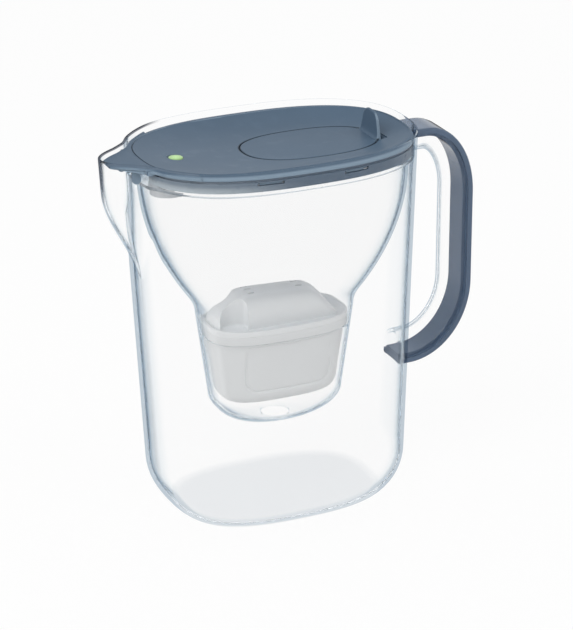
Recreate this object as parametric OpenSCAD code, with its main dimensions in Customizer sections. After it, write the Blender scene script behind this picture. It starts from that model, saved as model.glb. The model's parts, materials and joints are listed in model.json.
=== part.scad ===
// Water filter pitcher with a flip lid, in millimetres.
// The origin is the middle of the flat base, +X runs to the handle, -X to the spout and +Z up.

/* [Jug] */
// Height of the jug from its base to its rim
jug_height = 267; // [250:1:290]
// Length of the rim's oval, without the spout
rim_length = 200; // [190:1:215]
// Width of the rim's oval
rim_width = 134; // [128:1:142]
// Length of the jug's oval at its base
base_length = 175; // [168:1:182]
// Width of the jug's oval at its base
base_width = 131; // [124:1:132]
// How far the middle of the base lies toward the handle
base_shift = 3.6; // [0:0.2:6]
// Squareness of the oval outlines, where 2 is an ellipse
squareness = 2.57; // [2.3:0.01:2.9]
// Radius of the rounded bottom edge
bottom_round = 38; // [24:1:44]
// Thickness of the jug's wall
jug_wall = 2.8; // [2.4:0.1:3.6]
// Thickness of the jug's floor
jug_floor = 3; // [2:0.1:5]
// Thickness of the wall above the ledge that carries the funnel
rim_wall = 1.6; // [1.2:0.1:1.9]
// Depth of that ledge below the rim
ledge_depth = 17.5; // [16:0.5:22]

/* [Spout] */
// Reach of the spout beyond the rim's oval
spout_reach = 20.5; // [17:0.5:24]
// Radius of the spout's tip, seen from above
spout_tip_radius = 11; // [9:0.5:14]
// Depth below the rim at which the spout starts
spout_depth = 89; // [75:1:110]
// Depth below the rim down to which the spout keeps its full reach
spout_full_depth = 25; // [15:1:35]
// Width of the blend between the spout and the oval
spout_blend = 8; // [4:1:12]
// How far the walls are drawn in behind the spout
spout_waist = 2.4; // [0:0.1:2.6]

/* [Handle] */
// Width of the handle
handle_width = 26; // [22:1:30]
// Distance of the handle's outer face from the jug's middle
handle_reach = 147.2; // [140:0.2:156]
// Depth of the handle's top face below the rim
handle_top_depth = 7; // [6:0.5:12]
// Height of the handle's lowest outer point above the base
handle_foot_height = 90; // [80:1:100]
// Length and height of the upper bend of the outer face
upper_bend = [35.2, 50]; // [24:1:60]
// Length and height of the lower bend of the outer face
lower_bend = [47.2, 55]; // [30:1:70]
// Depth of the grip at its upper end, outer face to finger side
grip_depth_top = 17.7; // [16:0.1:19]
// Depth of the grip at its lower end
grip_depth_foot = 21.7; // [20:0.1:24]
// Wall thickness of the clear grip channel
channel_wall = 2.2; // [1.6:0.1:3]
// Thickness of the coloured strip that closes the channel
strip_thickness = 4; // [3:0.1:5]
// Height of the tongue that holds the strip in the channel
tongue_height = 2.5; // [1.5:0.1:4]

/* [Funnel] */
// Wall thickness of the funnel
funnel_wall = 1.8; // [1.4:0.1:2.4]
// Thickness of the funnel's rim flange
flange_thickness = 2.4; // [1.6:0.1:3]
// Gap between the funnel and the jug on the spout side, where water is poured
pour_gap = 7; // [5:0.5:9]
// Gap between the funnel and the jug on the other sides
side_gap = 2.3; // [1.8:0.1:3]
// How far above the cartridge's seat the bowl opens out of the cup
bowl_rise = 15; // [13:1:20]
// Squareness of the cup and of the cartridge
cup_squareness = 2.9; // [2.5:0.05:3.2]
// Depth of the cup below the cartridge's seat
cup_depth = 64.5; // [60:0.5:70]
// Height of the rounding at the bottom of the cup
cup_round_height = 20; // [12:1:24]
// Widening of the cup's length for each millimetre of height
cup_draft_length = 0.276; // [0.25:0.002:0.3]
// Widening of the cup's width for each millimetre of height
cup_draft_width = 0.13; // [0.1:0.002:0.16]
// Radius of the outlet in the bottom of the cup
outlet_radius = 10; // [7:0.5:12]
// How far the cup lies toward the handle
cup_shift = 3; // [1:0.1:4]

/* [Cartridge] */
// Length of the cartridge's flange
cartridge_length = 100.8; // [98:0.1:103]
// Width of the cartridge's flange
cartridge_width = 56; // [54:0.1:58]
// Height above the base at which the flange sits in the cup
seat_height = 130; // [128:0.5:134]
// Height of the flange
cartridge_flange_height = 10; // [8:0.5:12]
// Height of the ridge above the flange
ridge_height = 20; // [16:0.5:22]
// Width of the ridge at its foot
ridge_width = 36; // [32:1:38]
// Depth of the housing below the flange
housing_depth = 47; // [42:0.5:49]
// Wall thickness of the cartridge
cartridge_wall = 1.5; // [1.2:0.1:2]
// Radius of the finger hollows beside the ridge
finger_radius = 8.5; // [7:0.5:9]

/* [Lid] */
// Depth of the lid's top edge below the rim
lid_edge_depth = 2.8; // [2:0.1:4]
// Depth of the dished middle below the top edge
dish_depth = 6.6; // [5:0.1:8]
// Width of the sloping band around the top edge
band_width = 6; // [5:0.1:7]
// Height of the sloping band
band_height = 3.4; // [2.6:0.1:4.4]
// Thickness of the lid's plate
lid_plate = 2; // [1.6:0.1:2.4]
// Thickness of the ring's wall
ring_wall = 2.2; // [1.8:0.1:2.8]
// Gap between the lid and the jug's wall
lid_gap = 0.9; // [0.6:0.1:1.4]
// Distance of the oval's left end from the jug's wall, which leaves room for the spout cover
spout_side_gap = 4.6; // [4:0.1:6]
// Length and height of a snap window in the ring
snap_window = [18, 2]; // [1:0.5:22]
// Distances of the snap windows from the jug's middle
snap_places = [-27, 34]; // [-40:1:44]

/* [Refill flap] */
// Length of the flap
flap_length = 95; // [88:1:97]
// Width of the flap
flap_width = 56; // [50:1:60]
// Distance of the flap's middle from the jug's middle
flap_middle = 28.7; // [27:0.1:30]
// Seam around the flap
flap_seam = 0.8; // [0.5:0.1:1.2]
// Height of the thumb fin above the flap
fin_height = 17.5; // [14:0.5:24]
// Width of the thumb fin at its foot
fin_width = 27; // [22:1:28]
// Thickness of the thumb fin
fin_thickness = 2.6; // [2:0.1:3]
// Diameter of the flap's hinge pins
flap_pin = 2.6; // [2.2:0.1:3]

/* [Spout cover] */
// Width of the cover at its hinge
cover_width = 43; // [36:1:43]
// Thickness of the cover's plate
cover_plate = 1.8; // [1.4:0.1:2.4]
// Depth of the cover's cheeks beside the hinge
cheek_depth = 3.6; // [3:0.1:3.6]
// Diameter of the cover's hinge pins
cover_pin = 1.8; // [1.4:0.1:2]
// Radius of the round lugs under the cover
lug_radius = 3; // [2:0.1:3.4]
// Depth of the middle of the lugs below the top edge
lug_depth = 9.3; // [7:0.1:9.5]
// Distance between the outer sides of the lugs
lug_spread = 28.4; // [20:0.2:28.4]

/* [Cartridge change light] */
// Diameter of the light's button
button_diameter = 9.6; // [8:0.1:10.6]
// Distance of the button from the jug's middle, toward the spout
button_distance = 67.2; // [66:0.1:68]
// Diameter of the capsule under the lid
capsule_diameter = 23; // [22.5:0.1:25]
// Distance of the capsule from the jug's middle, toward the spout
capsule_distance = 73.2; // [72.6:0.1:74]
// Height of the capsule
capsule_height = 20; // [19:0.5:21]
// Wall thickness of the capsule
capsule_wall = 1.3; // [1:0.1:1.5]
// Diameter of the coin cell
cell_diameter = 20; // [16:0.1:20]
// Thickness of the coin cell
cell_thickness = 3.2; // [2:0.1:3.2]

/* [Fits] */
// Gap between pieces that lift off or swing past each other
gap = 0.3; // [0.25:0.01:0.4]
// Radial clearance of a pin in its bore
pin_fit = 0.05; // [0.03:0.01:0.1]

/* [Hidden] */

sides = 72;
spout_crowding = 0.55;
overlap = 0.4;
clear_plastic = [0.86, 0.9, 0.94, 0.35];
slate = [0.36, 0.43, 0.5];
deep_slate = [0.28, 0.35, 0.43];
pale_grey = [0.84, 0.85, 0.86];

ledge_height = jug_height - ledge_depth;
flange_base = ledge_height + gap;
flange_top = flange_base + flange_thickness;
ring_base = flange_top + gap;
lid_edge = jug_height - lid_edge_depth;
band_base = lid_edge - band_height;
ring_top = band_base - gap;
dish_floor = lid_edge - dish_depth;
cap_base = seat_height + gap;
bowl_start = seat_height + bowl_rise;
cup_bottom = seat_height - cup_depth;
cap_top = cap_base + cartridge_flange_height;

// ---- outlines -------------------------------------------------------------------------------------------------

function lerp(a, b, t) = a + (b - a) * t;
function soft_step(t) = let (u = min(1, max(0, t))) u * u * (3 - 2 * u);

// Bearing of corner i, measured from the spout; the corners crowd together at the spout.
function bearing(i, count = sides) =
    let (turn = 360 * i / count) turn - spout_crowding * sin(turn) * 180 / PI;

function oval_radius(angle, half_length, half_width, power) =
    pow(pow(abs(cos(angle)) / half_length, power) + pow(abs(sin(angle)) / half_width, power), -1 / power);

function oval(half_length, half_width, shift, power = squareness, count = sides) = [
    for (i = [0:count - 1])
        let (a = bearing(i, count), r = oval_radius(a, half_length, half_width, power))
            [shift - r * cos(a), r * sin(a)]
];

function inset(outline, depth) = let (count = len(outline)) [
    for (i = [0:count - 1])
        let (along = outline[(i + 1) % count] - outline[(i + count - 1) % count])
            outline[i] - depth * [-along[1], along[0]] / norm(along)
];

function ring(outline, height) = [for (p = outline) [p[0], p[1], height]];

function jug_half_length(z) = lerp(base_length, rim_length, z / jug_height) / 2;
function jug_half_width(z) = lerp(base_width, rim_width, z / jug_height) / 2;
function jug_shift(z) = base_shift * (1 - z / jug_height);
function jug_oval(z) = oval(jug_half_length(z), jug_half_width(z), jug_shift(z));

// The spout's plan is a parabola that melts into the oval and grows out of the wall with height.
function spout_growth(z) =
    soft_step((z - jug_height + spout_depth) / (spout_depth - spout_full_depth));
function spout_radius(angle, tip) =
    cos(angle) < 0.2 ? 0
        : 2 * tip / (cos(angle) + sqrt(pow(cos(angle), 2) + 2 * tip * pow(sin(angle), 2) / spout_tip_radius));
function melt(a, b, width) =
    max(a, b) + pow(max(width - abs(a - b), 0), 2) / (4 * max(width, 0.01));
function waist(a) = let (b = min(a, 360 - a)) soft_step((b - 12) / 7) * (1 - soft_step((b - 27) / 19));
function jug_outline(z) =
    let (growth = spout_growth(z), tip = jug_half_length(z) + spout_reach * growth) [
        for (i = [0:sides - 1])
            let (a = bearing(i),
                 wall = oval_radius(a, jug_half_length(z), jug_half_width(z), squareness),
                 r = melt(wall, spout_radius(a, tip), spout_blend * growth) - spout_waist * growth * waist(a))
                [jug_shift(z) - r * cos(a), r * sin(a)]
    ];

// A closed skin over a chain of rings with the same number of corners, capped unless it runs back into itself.
// Folded caps run between corners that face each other over the ring's middle, for ends that aren't flat.
module skin(rings, loop = false, folded = false) {
    count = len(rings[0]);
    last = len(rings) - 1;
    walls = [
        for (k = [0:loop ? last : last - 1], i = [0:count - 1], half = [0, 1])
            let (low = k * count, high = ((k + 1) % (last + 1)) * count, j = (i + 1) % count)
                half == 0 ? [low + i, low + j, high + j] : [low + i, high + j, high + i]
    ];
    flat_cap = [[for (i = [0:count - 1]) i]];
    folded_cap = [
        for (i = [0:count / 2 - 2], half = [0, 1])
            half == 0 ? [i, i + 1, count - 1 - i] : [i + 1, count - 2 - i, count - 1 - i]
    ];
    cap = folded ? folded_cap : flat_cap;
    caps = loop ? [] : concat(
        [for (f = cap) [for (k = [len(f) - 1:-1:0]) f[k]]],
        [for (f = cap) [for (i = f) last * count + i]]
    );
    polyhedron([for (r = rings) each r], concat(walls, caps), convexity = 10);
}

// ---- jug and handle -------------------------------------------------------------------------------------------

bottom_steps = 6;
spout_steps = 10;
spout_heights = [for (k = [0:spout_steps]) jug_height - spout_depth + k * spout_depth / spout_steps];

module jug() {
    outer = concat(
        [for (k = [0:bottom_steps])
            let (a = 90 * k / bottom_steps, z = bottom_round * (1 - cos(a)))
                ring(inset(jug_outline(z), bottom_round * (1 - sin(a))), z)],
        [for (z = spout_heights) ring(jug_outline(z), z)]
    );
    inner_round = bottom_round - jug_wall;
    inner = concat(
        [ring(inset(jug_outline(jug_height), rim_wall), jug_height),
         ring(inset(jug_outline(ledge_height), rim_wall), ledge_height),
         ring(inset(jug_outline(ledge_height), jug_wall), ledge_height)],
        [for (k = [spout_steps:-1:0]) let (z = spout_heights[k])
            if (z < ledge_height - 2) ring(inset(jug_outline(z), jug_wall), z)],
        [for (k = [bottom_steps:-1:0])
            let (a = 90 * k / bottom_steps, z = jug_floor + inner_round * (1 - cos(a)))
                ring(inset(jug_outline(z), jug_wall + inner_round * (1 - sin(a))), z)]
    );
    color(clear_plastic) skin(concat(outer, inner));
}

// Distance of the jug's outer wall from its middle on the handle side, at a height and a distance to the side.
function handle_wall(y, z) =
    jug_shift(z) + jug_half_length(z) * pow(1 - pow(abs(y) / jug_half_width(z), squareness), 1 / squareness);

// The handle's outer face is a line in the middle plane: stations of [x, z, outward x, outward z].
bend_steps = 9;
upper_middle = [handle_reach - upper_bend[0], jug_height - handle_top_depth - upper_bend[1]];
lower_middle = [handle_reach - lower_bend[0], handle_foot_height + lower_bend[1]];
function bend(middle, size, from, to) = [
    for (k = [0:bend_steps])
        let (a = lerp(from, to, k / bend_steps),
             slant = [cos(a) / size[0], sin(a) / size[1]],
             out = slant / norm(slant))
            [middle[0] + size[0] * cos(a), middle[1] + size[1] * sin(a), out[0], out[1]]
];
handle_line = concat(bend(upper_middle, upper_bend, 90, 0), bend(lower_middle, lower_bend, 0, -90));

// A point of the handle's section, at a distance to the side and a depth below the outer face.
function handle_point(s, across, depth_share, depth) =
    let (last = len(handle_line) - 1,
         at_end = s < 0 || s > last,
         st = handle_line[min(last, max(0, s))],
         d = depth + depth_share * lerp(grip_depth_top, grip_depth_foot, min(last, max(0, s)) / last),
         z = st[1] - st[3] * d)
        [at_end ? handle_wall(across, z) + 0.05 : st[0] - st[2] * d, across, z];

module handle_sweep(section) {
    skin([for (s = [-1:len(handle_line)]) [for (p = section) handle_point(s, p[0], p[1], p[2])]], folded = true);
}

module handle_channel() {
    half = handle_width / 2;
    arch_steps = 12;
    // Half-round back of the channel, on either side of which a leg runs up to the strip.
    function back(radius, order) = [
        for (k = order) let (a = 180 * k / arch_steps) [radius * cos(a), 1, radius * sin(a) - half]
    ];
    color(clear_plastic) handle_sweep(concat(
        [[half, 0, strip_thickness]],
        back(half, [0:arch_steps]),
        [[-half, 0, strip_thickness], [channel_wall - half, 0, strip_thickness]],
        back(half - channel_wall, [arch_steps:-1:0]),
        [[half - channel_wall, 0, strip_thickness]]
    ));
}

module handle_strip() {
    half = handle_width / 2;
    inner = half - channel_wall;
    // The tongue stays clear of the channel's back where the grip is at its shallowest.
    sunk = max(0, strip_thickness + tongue_height + half - grip_depth_top);
    tongue = sqrt(inner * inner - sunk * sunk) - gap;
    across = [-1, -0.66, -0.33, 0, 0.33, 0.66, 1];
    side = [half, tongue + 0.4];
    color(deep_slate) handle_sweep(concat(
        [[-side[0], 0, 0], [-side[1], 0, 0]],
        [for (k = [0:6]) [(tongue - 0.4) * across[k], 0, 0]],
        [[side[1], 0, 0], [side[0], 0, 0]],
        [[half, 0, strip_thickness], [tongue, 0, strip_thickness]],
        [for (k = [6:-1:0]) [tongue * across[k], 0, strip_thickness + tongue_height]],
        [[-tongue, 0, strip_thickness], [-half, 0, strip_thickness]]
    ));
}

// ---- funnel ---------------------------------------------------------------------------------------------------

flange_half_length = (2 * jug_half_length(flange_base) - 2 * jug_wall - pour_gap - side_gap) / 2;
bowl_half_width = jug_half_width(flange_base) - jug_wall - side_gap;
bowl_shift = jug_shift(flange_base) + (pour_gap - side_gap) / 2;
cup_round_top = cup_bottom + cup_round_height;

function cup_half_length(z) =
    cartridge_length / 2 + gap + funnel_wall + cup_draft_length / 2 * (z - seat_height);
function cup_half_width(z) =
    cartridge_width / 2 + gap + funnel_wall + cup_draft_width / 2 * (z - seat_height);

// How far the bowl has opened at a height, from 0 at the cup to 1 under the flange.
bowl_fillet = 0.12;
bowl_power = 2.1;
function bowl_opening(z) =
    let (u = (z - bowl_start) / (flange_base - bowl_start),
         v = u <= 0 ? 0 : u < bowl_fillet ? u * u / (2 * bowl_fillet) : u - bowl_fillet / 2)
        1 - pow(1 - min(1, v / (1 - bowl_fillet / 2)), bowl_power);
function funnel_half_length(z) =
    z <= bowl_start ? cup_half_length(z) : lerp(cup_half_length(bowl_start), flange_half_length, bowl_opening(z));
function funnel_half_width(z) =
    z <= bowl_start ? cup_half_width(z) : lerp(cup_half_width(bowl_start), bowl_half_width, bowl_opening(z));
function funnel_outline(z) =
    oval(funnel_half_length(z), funnel_half_width(z), lerp(cup_shift, bowl_shift, bowl_opening(z)),
         lerp(cup_squareness, squareness, bowl_opening(z)));
function funnel_slope(z) = funnel_half_length(z + 0.5) - funnel_half_length(z - 0.5);
function funnel_inside(z) = inset(funnel_outline(z), funnel_wall * sqrt(1 + pow(funnel_slope(z), 2)));

// The flange's edge, which keeps clear of the walls where they are drawn in behind the spout.
function flange_edge() =
    let (edge = inset(jug_oval(flange_base), rim_wall + gap), middle = [jug_shift(flange_base), 0]) [
        for (i = [0:sides - 1])
            let (reach = norm(edge[i] - middle), drawn = spout_waist > 0 ? (spout_waist + gap) * waist(bearing(i)) : 0)
                middle + (edge[i] - middle) * (1 - drawn / reach)
    ];

// Ring of the cup's rounded bottom, from the outlet at 0 degrees to the cup's wall at 90 degrees.
function cup_bottom_ring(angle, depth) =
    ring(oval(lerp(outlet_radius, cup_half_length(cup_round_top) - depth, sin(angle)),
              lerp(outlet_radius, cup_half_width(cup_round_top) - depth, sin(angle)),
              cup_shift, lerp(2, cup_squareness, sin(angle))),
         cup_bottom + depth + cup_round_height * (1 - cos(angle)));

module funnel() {
    bottom_angles = [0, 20, 40, 60, 90];
    bowl_heights = [for (rise = [0, 5, 11, 18, 26, 35, 45, 57, 72, 89]) bowl_start + rise];
    open_heights = [for (z = bowl_heights) if (z <= bowl_start || (z > bowl_start + 2 && z < flange_base - 4)) z];
    seat_step = 1.1;
    seat_rings = [
        ring(inset(funnel_outline(seat_height), funnel_wall), seat_height),
        ring(inset(funnel_outline(seat_height), funnel_wall + gap + seat_step), seat_height),
        ring(inset(funnel_outline(seat_height - 2), funnel_wall + gap + seat_step), seat_height - 2),
        ring(inset(funnel_outline(seat_height - 5), funnel_wall), seat_height - 5)
    ];
    color(clear_plastic) skin(concat(
        [for (a = bottom_angles) cup_bottom_ring(a, 0)],
        [for (z = open_heights) ring(funnel_outline(z), z)],
        [ring(oval(flange_half_length, bowl_half_width, bowl_shift), flange_base),
         ring(flange_edge(), flange_base),
         ring(flange_edge(), flange_top),
         ring(inset(oval(flange_half_length, bowl_half_width, bowl_shift), funnel_wall), flange_top)],
        [for (k = [len(open_heights) - 1:-1:0]) let (z = open_heights[k]) ring(funnel_inside(z), z)],
        seat_rings,
        [for (k = [len(bottom_angles) - 1:-1:0]) cup_bottom_ring(bottom_angles[k], funnel_wall)]
    ), loop = true);
}

// ---- lid ------------------------------------------------------------------------------------------------------

lid_right = jug_half_length(ring_top) - rim_wall - lid_gap;
lid_left = jug_half_length(ring_top) - rim_wall - spout_side_gap;
lid_half_length = (lid_right + lid_left) / 2;
lid_half_width = jug_half_width(ring_top) - rim_wall - lid_gap;
lid_shift = (lid_right - lid_left) / 2;
end_band = 0.9;

// Outline of the ring's outside, and of the plate's top edge inside the sloping band.
function ring_oval(depth = 0) = inset(oval(lid_half_length, lid_half_width, lid_shift), depth);
function edge_oval() = oval(lid_half_length - end_band, lid_half_width - band_width, lid_shift);

flap_half_length = flap_length / 2;
flap_half_width = flap_width / 2;
flap_squareness = 2.4;
function flap_oval(grow = 0) =
    oval(flap_half_length + grow, flap_half_width + grow, flap_middle, flap_squareness);

// Top of the dish at a share of the way from the top edge to the flap.
function dish_height(share) = lerp(dish_floor, lid_edge, pow(1 - share, 1.45));
function dish_ring(share, below) =
    let (from = edge_oval(), to = flap_oval(flap_seam))
        [for (i = [0:sides - 1]) let (p = lerp(from[i], to[i], share)) [p[0], p[1], dish_height(share) - below]];

pivot_x = flap_middle + flap_half_length - fin_thickness / 2 - 0.3;
pivot_z = dish_floor - flap_pin / 2 - 1.3;
barrel_half = fin_width / 2;
ear_gap = gap + 0.1;
ear_width = 3.6;
ear_reach = 3.4;
notch_reach = 5.9;
lip_gap = 0.2;
lip_wall = 1.6;
lip_depth = 4.2;
window_base = ring_base + 4.2;
stop_reach = 2.2;

hinge_barrel = 1.6;
cover_half = cover_width / 2;
cover_axis_x = -(lid_left - end_band + hinge_barrel + gap - 0.2);
cover_axis_z = lid_edge - hinge_barrel - 0.1;
cover_ear_width = 3;

module flat(outline, base, height) {
    translate([0, 0, base]) linear_extrude(height) polygon(outline);
}

// Distance of the lid's spout pieces from the jug's outside.
spout_clear = rim_wall + 0.6;

module lid_top() {
    shares = [0, 0.12, 0.26, 0.42, 0.6, 0.8, 1];
    lip_outer = ring_wall + lip_gap;
    lip_inner = lip_outer + lip_wall;
    color(slate) difference() {
        union() {
            skin(concat(
                [ring(ring_oval(lip_inner), band_base - lip_depth), ring(ring_oval(lip_outer), band_base - lip_depth),
                 ring(ring_oval(lip_outer), band_base), ring(ring_oval(), band_base)],
                [for (k = [1:2]) let (t = k / 3)
                    ring([for (i = [0:sides - 1]) lerp(ring_oval()[i], edge_oval()[i], 1 - cos(90 * t))],
                         band_base + band_height * sin(90 * t) - 0.1)],
                [for (s = shares) dish_ring(s, 0)],
                [for (k = [len(shares) - 1:-1:1]) dish_ring(shares[k], lid_plate)],
                [ring(ring_oval(lip_inner + 2), band_base - 0.4)]
            ), loop = true);
            for (side = [-1, 1]) {
                flap_ear(side);
            }
            for (x = snap_places) snap_tabs(x);
            flap_stop();
            button_seat();
        }
        // Notch behind the flap into which the fin swings.
        translate([pivot_x - fin_thickness, -barrel_half - ear_gap, dish_floor - 6])
            cube([fin_thickness + notch_reach, 2 * (barrel_half + ear_gap), 8.5]);
        translate([pivot_x, 0, pivot_z]) rotate([90, 0, 0])
            cylinder(d = flap_pin + 2 * pin_fit, h = 60, center = true, $fn = 48);
        // Straight front edge at the spout cover's hinge.
        translate([cover_axis_x - 30, -cover_half - gap, lid_edge - 8])
            cube([30 + hinge_barrel + gap, cover_width + 2 * gap, 9]);
        translate([-button_distance, 0, dish_floor - 4])
            cylinder(d = seal_outer, h = 14, $fn = 64);
    }
    color(slate) difference() {
        union() {
            spout_shoulders();
            for (side = [-1, 1]) cover_ear(side);
        }
        translate([cover_axis_x, 0, cover_axis_z]) rotate([90, 0, 0])
            cylinder(d = cover_pin + 2 * pin_fit, h = 2 * (cover_half + gap + cover_ear_width - 0.4), center = true, $fn = 48);
    }
}

// Tabs on both sides of the lip that snap into the ring's windows.
module snap_tabs(x) {
    translate([0, 0, window_base + 0.2]) linear_extrude(snap_window[1] - 0.4) intersection() {
        difference() {
            polygon(ring_oval(1.2));
            polygon(ring_oval(ring_wall + lip_gap + 0.6));
        }
        translate([x - snap_window[0] / 2 + 1, -rim_width]) square([snap_window[0] - 2, 2 * rim_width]);
    }
}

module flap_ear(side) {
    inner = barrel_half + ear_gap;
    difference() {
        translate([pivot_x - ear_reach, side > 0 ? inner : -inner - ear_width, pivot_z - ear_reach])
            cube([2 * ear_reach + 3, ear_width, dish_floor - lid_plate / 2 - pivot_z + ear_reach]);
        flat(flap_oval(flap_seam + 0.02), dish_floor - lid_plate - gap, lid_plate);
    }
}

// Block under a shoulder that holds one hinge pin of the spout cover.
module cover_ear(side) {
    inner = cover_half + gap;
    translate([0, 0, cover_axis_z - 2.4]) linear_extrude(lid_edge - 1 - cover_axis_z + 2.4) intersection() {
        polygon(inset(jug_outline(lid_edge), spout_clear));
        translate([cover_axis_x - 2.2, side > 0 ? inner : -inner - cover_ear_width])
            square([5, cover_ear_width]);
    }
}

// Fixed parts of the lid on both sides of the spout cover.
module spout_shoulders() {
    shoulder_length = 30;
    translate([0, 0, lid_edge - 3]) linear_extrude(3) difference() {
        polygon(inset(jug_outline(lid_edge), spout_clear));
        polygon(inset(edge_oval(), 1));
        translate([shoulder_length - rim_length / 2, -rim_width]) square([rim_length, 2 * rim_width]);
        translate([-rim_length, -cover_half - gap])
            square([rim_length + cover_axis_x + hinge_barrel + gap, cover_width + 2 * gap]);
    }
}

// Ledge under the front of the flap, on which it rests.
module flap_stop() {
    reach = flap_middle + 22;
    module half_ring(outer, inner, base, height) {
        translate([0, 0, base]) linear_extrude(height) difference() {
            polygon(flap_oval(outer));
            polygon(flap_oval(inner));
            translate([reach, -rim_width]) square([rim_length, 2 * rim_width]);
        }
    }
    half_ring(flap_seam + 2.4, flap_seam - 0.2, dish_floor - lid_plate - 1.8, 2.6);
    half_ring(flap_seam + 0.2, -stop_reach, dish_floor - lid_plate - 1.8, 1.8 - gap);
}

module lid_ring() {
    upper_opening = cover_width + 2 * (gap + cover_ear_width + 1);
    lower_opening = lug_spread + 12 * gap;
    color(deep_slate) difference() {
        union() {
            flat(ring_oval(), ring_base, ring_top - ring_base - 1.2);
            flat(ring_oval(0.9), ring_base, ring_top - ring_base);
        }
        flat(ring_oval(ring_wall), ring_base - 1, ring_top - ring_base + 2);
        for (side = [-1, 1], x = snap_places) {
            translate([x - snap_window[0] / 2, side * lid_half_width - 6, window_base])
                cube([snap_window[0], 12, snap_window[1]]);
        }
        // The ring is open under the spout between the cover's lugs, and clear of the blocks that hold the cover.
        translate([-lid_half_length - 10, -lower_opening / 2, ring_base - 1])
            cube([24, lower_opening, ring_top]);
        translate([-lid_half_length - 10, -upper_opening / 2, ring_top - 1.2])
            cube([24, upper_opening, ring_top]);
    }
}

// ---- refill flap ----------------------------------------------------------------------------------------------

module refill_flap() {
    lift = dish_floor - lid_plate;
    color(slate) union() {
        difference() {
            flat(flap_oval(), lift, lid_plate);
            translate([pivot_x, -rim_width / 2, lift - 1]) cube([rim_length, rim_width, lid_plate + 2]);
            // The rear corners are trimmed, so that they swing clear of the lid.
            for (side = [-1, 1]) {
                translate([pivot_x - 4, side > 0 ? barrel_half : -barrel_half - 20, lift - 1])
                    cube([20, 20, lid_plate + 2]);
            }
        }
        translate([pivot_x, 0, pivot_z]) rotate([90, 0, 0])
            cylinder(r = dish_floor - pivot_z, h = 2 * barrel_half, center = true, $fn = 48);
        translate([pivot_x, 0, pivot_z]) rotate([90, 0, 0])
            cylinder(d = flap_pin, h = 2 * (barrel_half + ear_gap + ear_width - 0.4), center = true, $fn = 48);
        translate([pivot_x - fin_thickness / 2, 0, pivot_z]) rotate([90, 0, 90]) linear_extrude(fin_thickness)
            fin_outline();
    }
}

// The thumb fin seen along the jug: a foot as wide as the flap's end, drawn in to a rounded top.
module fin_outline() {
    foot = fin_width / 2;
    top_radius = 8.5;
    top = dish_floor + fin_height - pivot_z;
    hull() {
        translate([-foot, 0]) square([fin_width, 3]);
        for (side = [-1, 1]) {
            translate([side * (foot - top_radius - 2.5), top - top_radius]) circle(r = top_radius, $fn = 48);
        }
    }
}

// ---- spout cover ----------------------------------------------------------------------------------------------

module spout_cover() {
    front = jug_half_length(lid_edge) + spout_reach - 4.8;
    cheek_start = cover_axis_x - 3.5;
    module plan() {
        intersection() {
            polygon(inset(jug_outline(lid_edge), spout_clear));
            translate([-front, -cover_half]) square([front + cover_axis_x, cover_width]);
        }
    }
    color(slate) union() {
        translate([0, 0, lid_edge - cover_plate]) linear_extrude(cover_plate) plan();
        difference() {
            translate([0, 0, lid_edge - cheek_depth]) linear_extrude(cheek_depth) difference() {
                plan();
                polygon(inset(jug_outline(lid_edge), spout_clear + 1.5));
            }
            // The cheeks run out toward the tip.
            translate([cheek_start, 0, lid_edge - cheek_depth]) rotate([0, 10, 0])
                translate([-40, -cover_half - 1, -10]) cube([40, cover_width + 2, 10]);
        }
        translate([cover_axis_x, 0, cover_axis_z]) rotate([90, 0, 0]) {
            cylinder(r = hinge_barrel, h = cover_width, center = true, $fn = 48);
            cylinder(d = cover_pin, h = cover_width + 2 * (gap + cover_ear_width - 0.8), center = true, $fn = 48);
        }
        for (side = [-1, 1]) cover_lug(side);
    }
}

// Round lug that hangs from the cover into the spout.
module cover_lug(side) {
    thickness = 1.8;
    lug_x = cover_axis_x - lug_radius - 2.7;
    translate([0, side * (lug_spread - thickness) / 2 + thickness / 2, 0]) rotate([90, 0, 0])
        linear_extrude(thickness) hull() {
            translate([lug_x, lid_edge - lug_depth]) circle(r = lug_radius, $fn = 32);
            translate([lug_x - lug_radius, lid_edge - cover_plate]) square([2 * lug_radius + 1.6, overlap]);
        }
}

// ---- cartridge change light -----------------------------------------------------------------------------------

seal_wall = 0.9;
seal_outer = button_diameter + 2 * seal_wall + 0.2;
button_share = (lid_left - end_band - button_distance) / (lid_left - end_band + flap_middle - flap_half_length);
button_surface = dish_height(max(0.05, button_share));
seat_base = button_surface - lid_plate - 1.4;
capsule_top = seat_base - 0.1;
capsule_base = capsule_top - capsule_height;
tail_reach = 17;
tail_width = 17;
board_height = capsule_base + 13.2;
board_thickness = 1.2;
cell_height = capsule_base + capsule_wall + 1.2;
button_travel = 0.5;
switch_base = board_height + board_thickness;
switch_top = switch_base + 2.2;
stem_base = switch_top + button_travel + 0.1;

module capsule_plan(grow) {
    translate([-capsule_distance, 0]) circle(d = capsule_diameter + 2 * grow, $fn = 96);
    translate([-capsule_distance, -tail_width / 2 - grow]) square([tail_reach + grow, tail_width + 2 * grow]);
}

// Pad under the lid's plate that seats the capsule around the button.
module button_seat() {
    translate([0, 0, seat_base]) linear_extrude(2) capsule_plan(0);
}

module light_capsule() {
    color(pale_grey) difference() {
        translate([0, 0, capsule_base + capsule_wall]) linear_extrude(capsule_height - capsule_wall) capsule_plan(0);
        translate([0, 0, capsule_base]) linear_extrude(capsule_height - capsule_wall) capsule_plan(-capsule_wall);
        translate([-button_distance, 0, capsule_top - capsule_wall - 1])
            cylinder(d = seal_outer, h = capsule_wall + 2, $fn = 64);
    }
}

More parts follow.
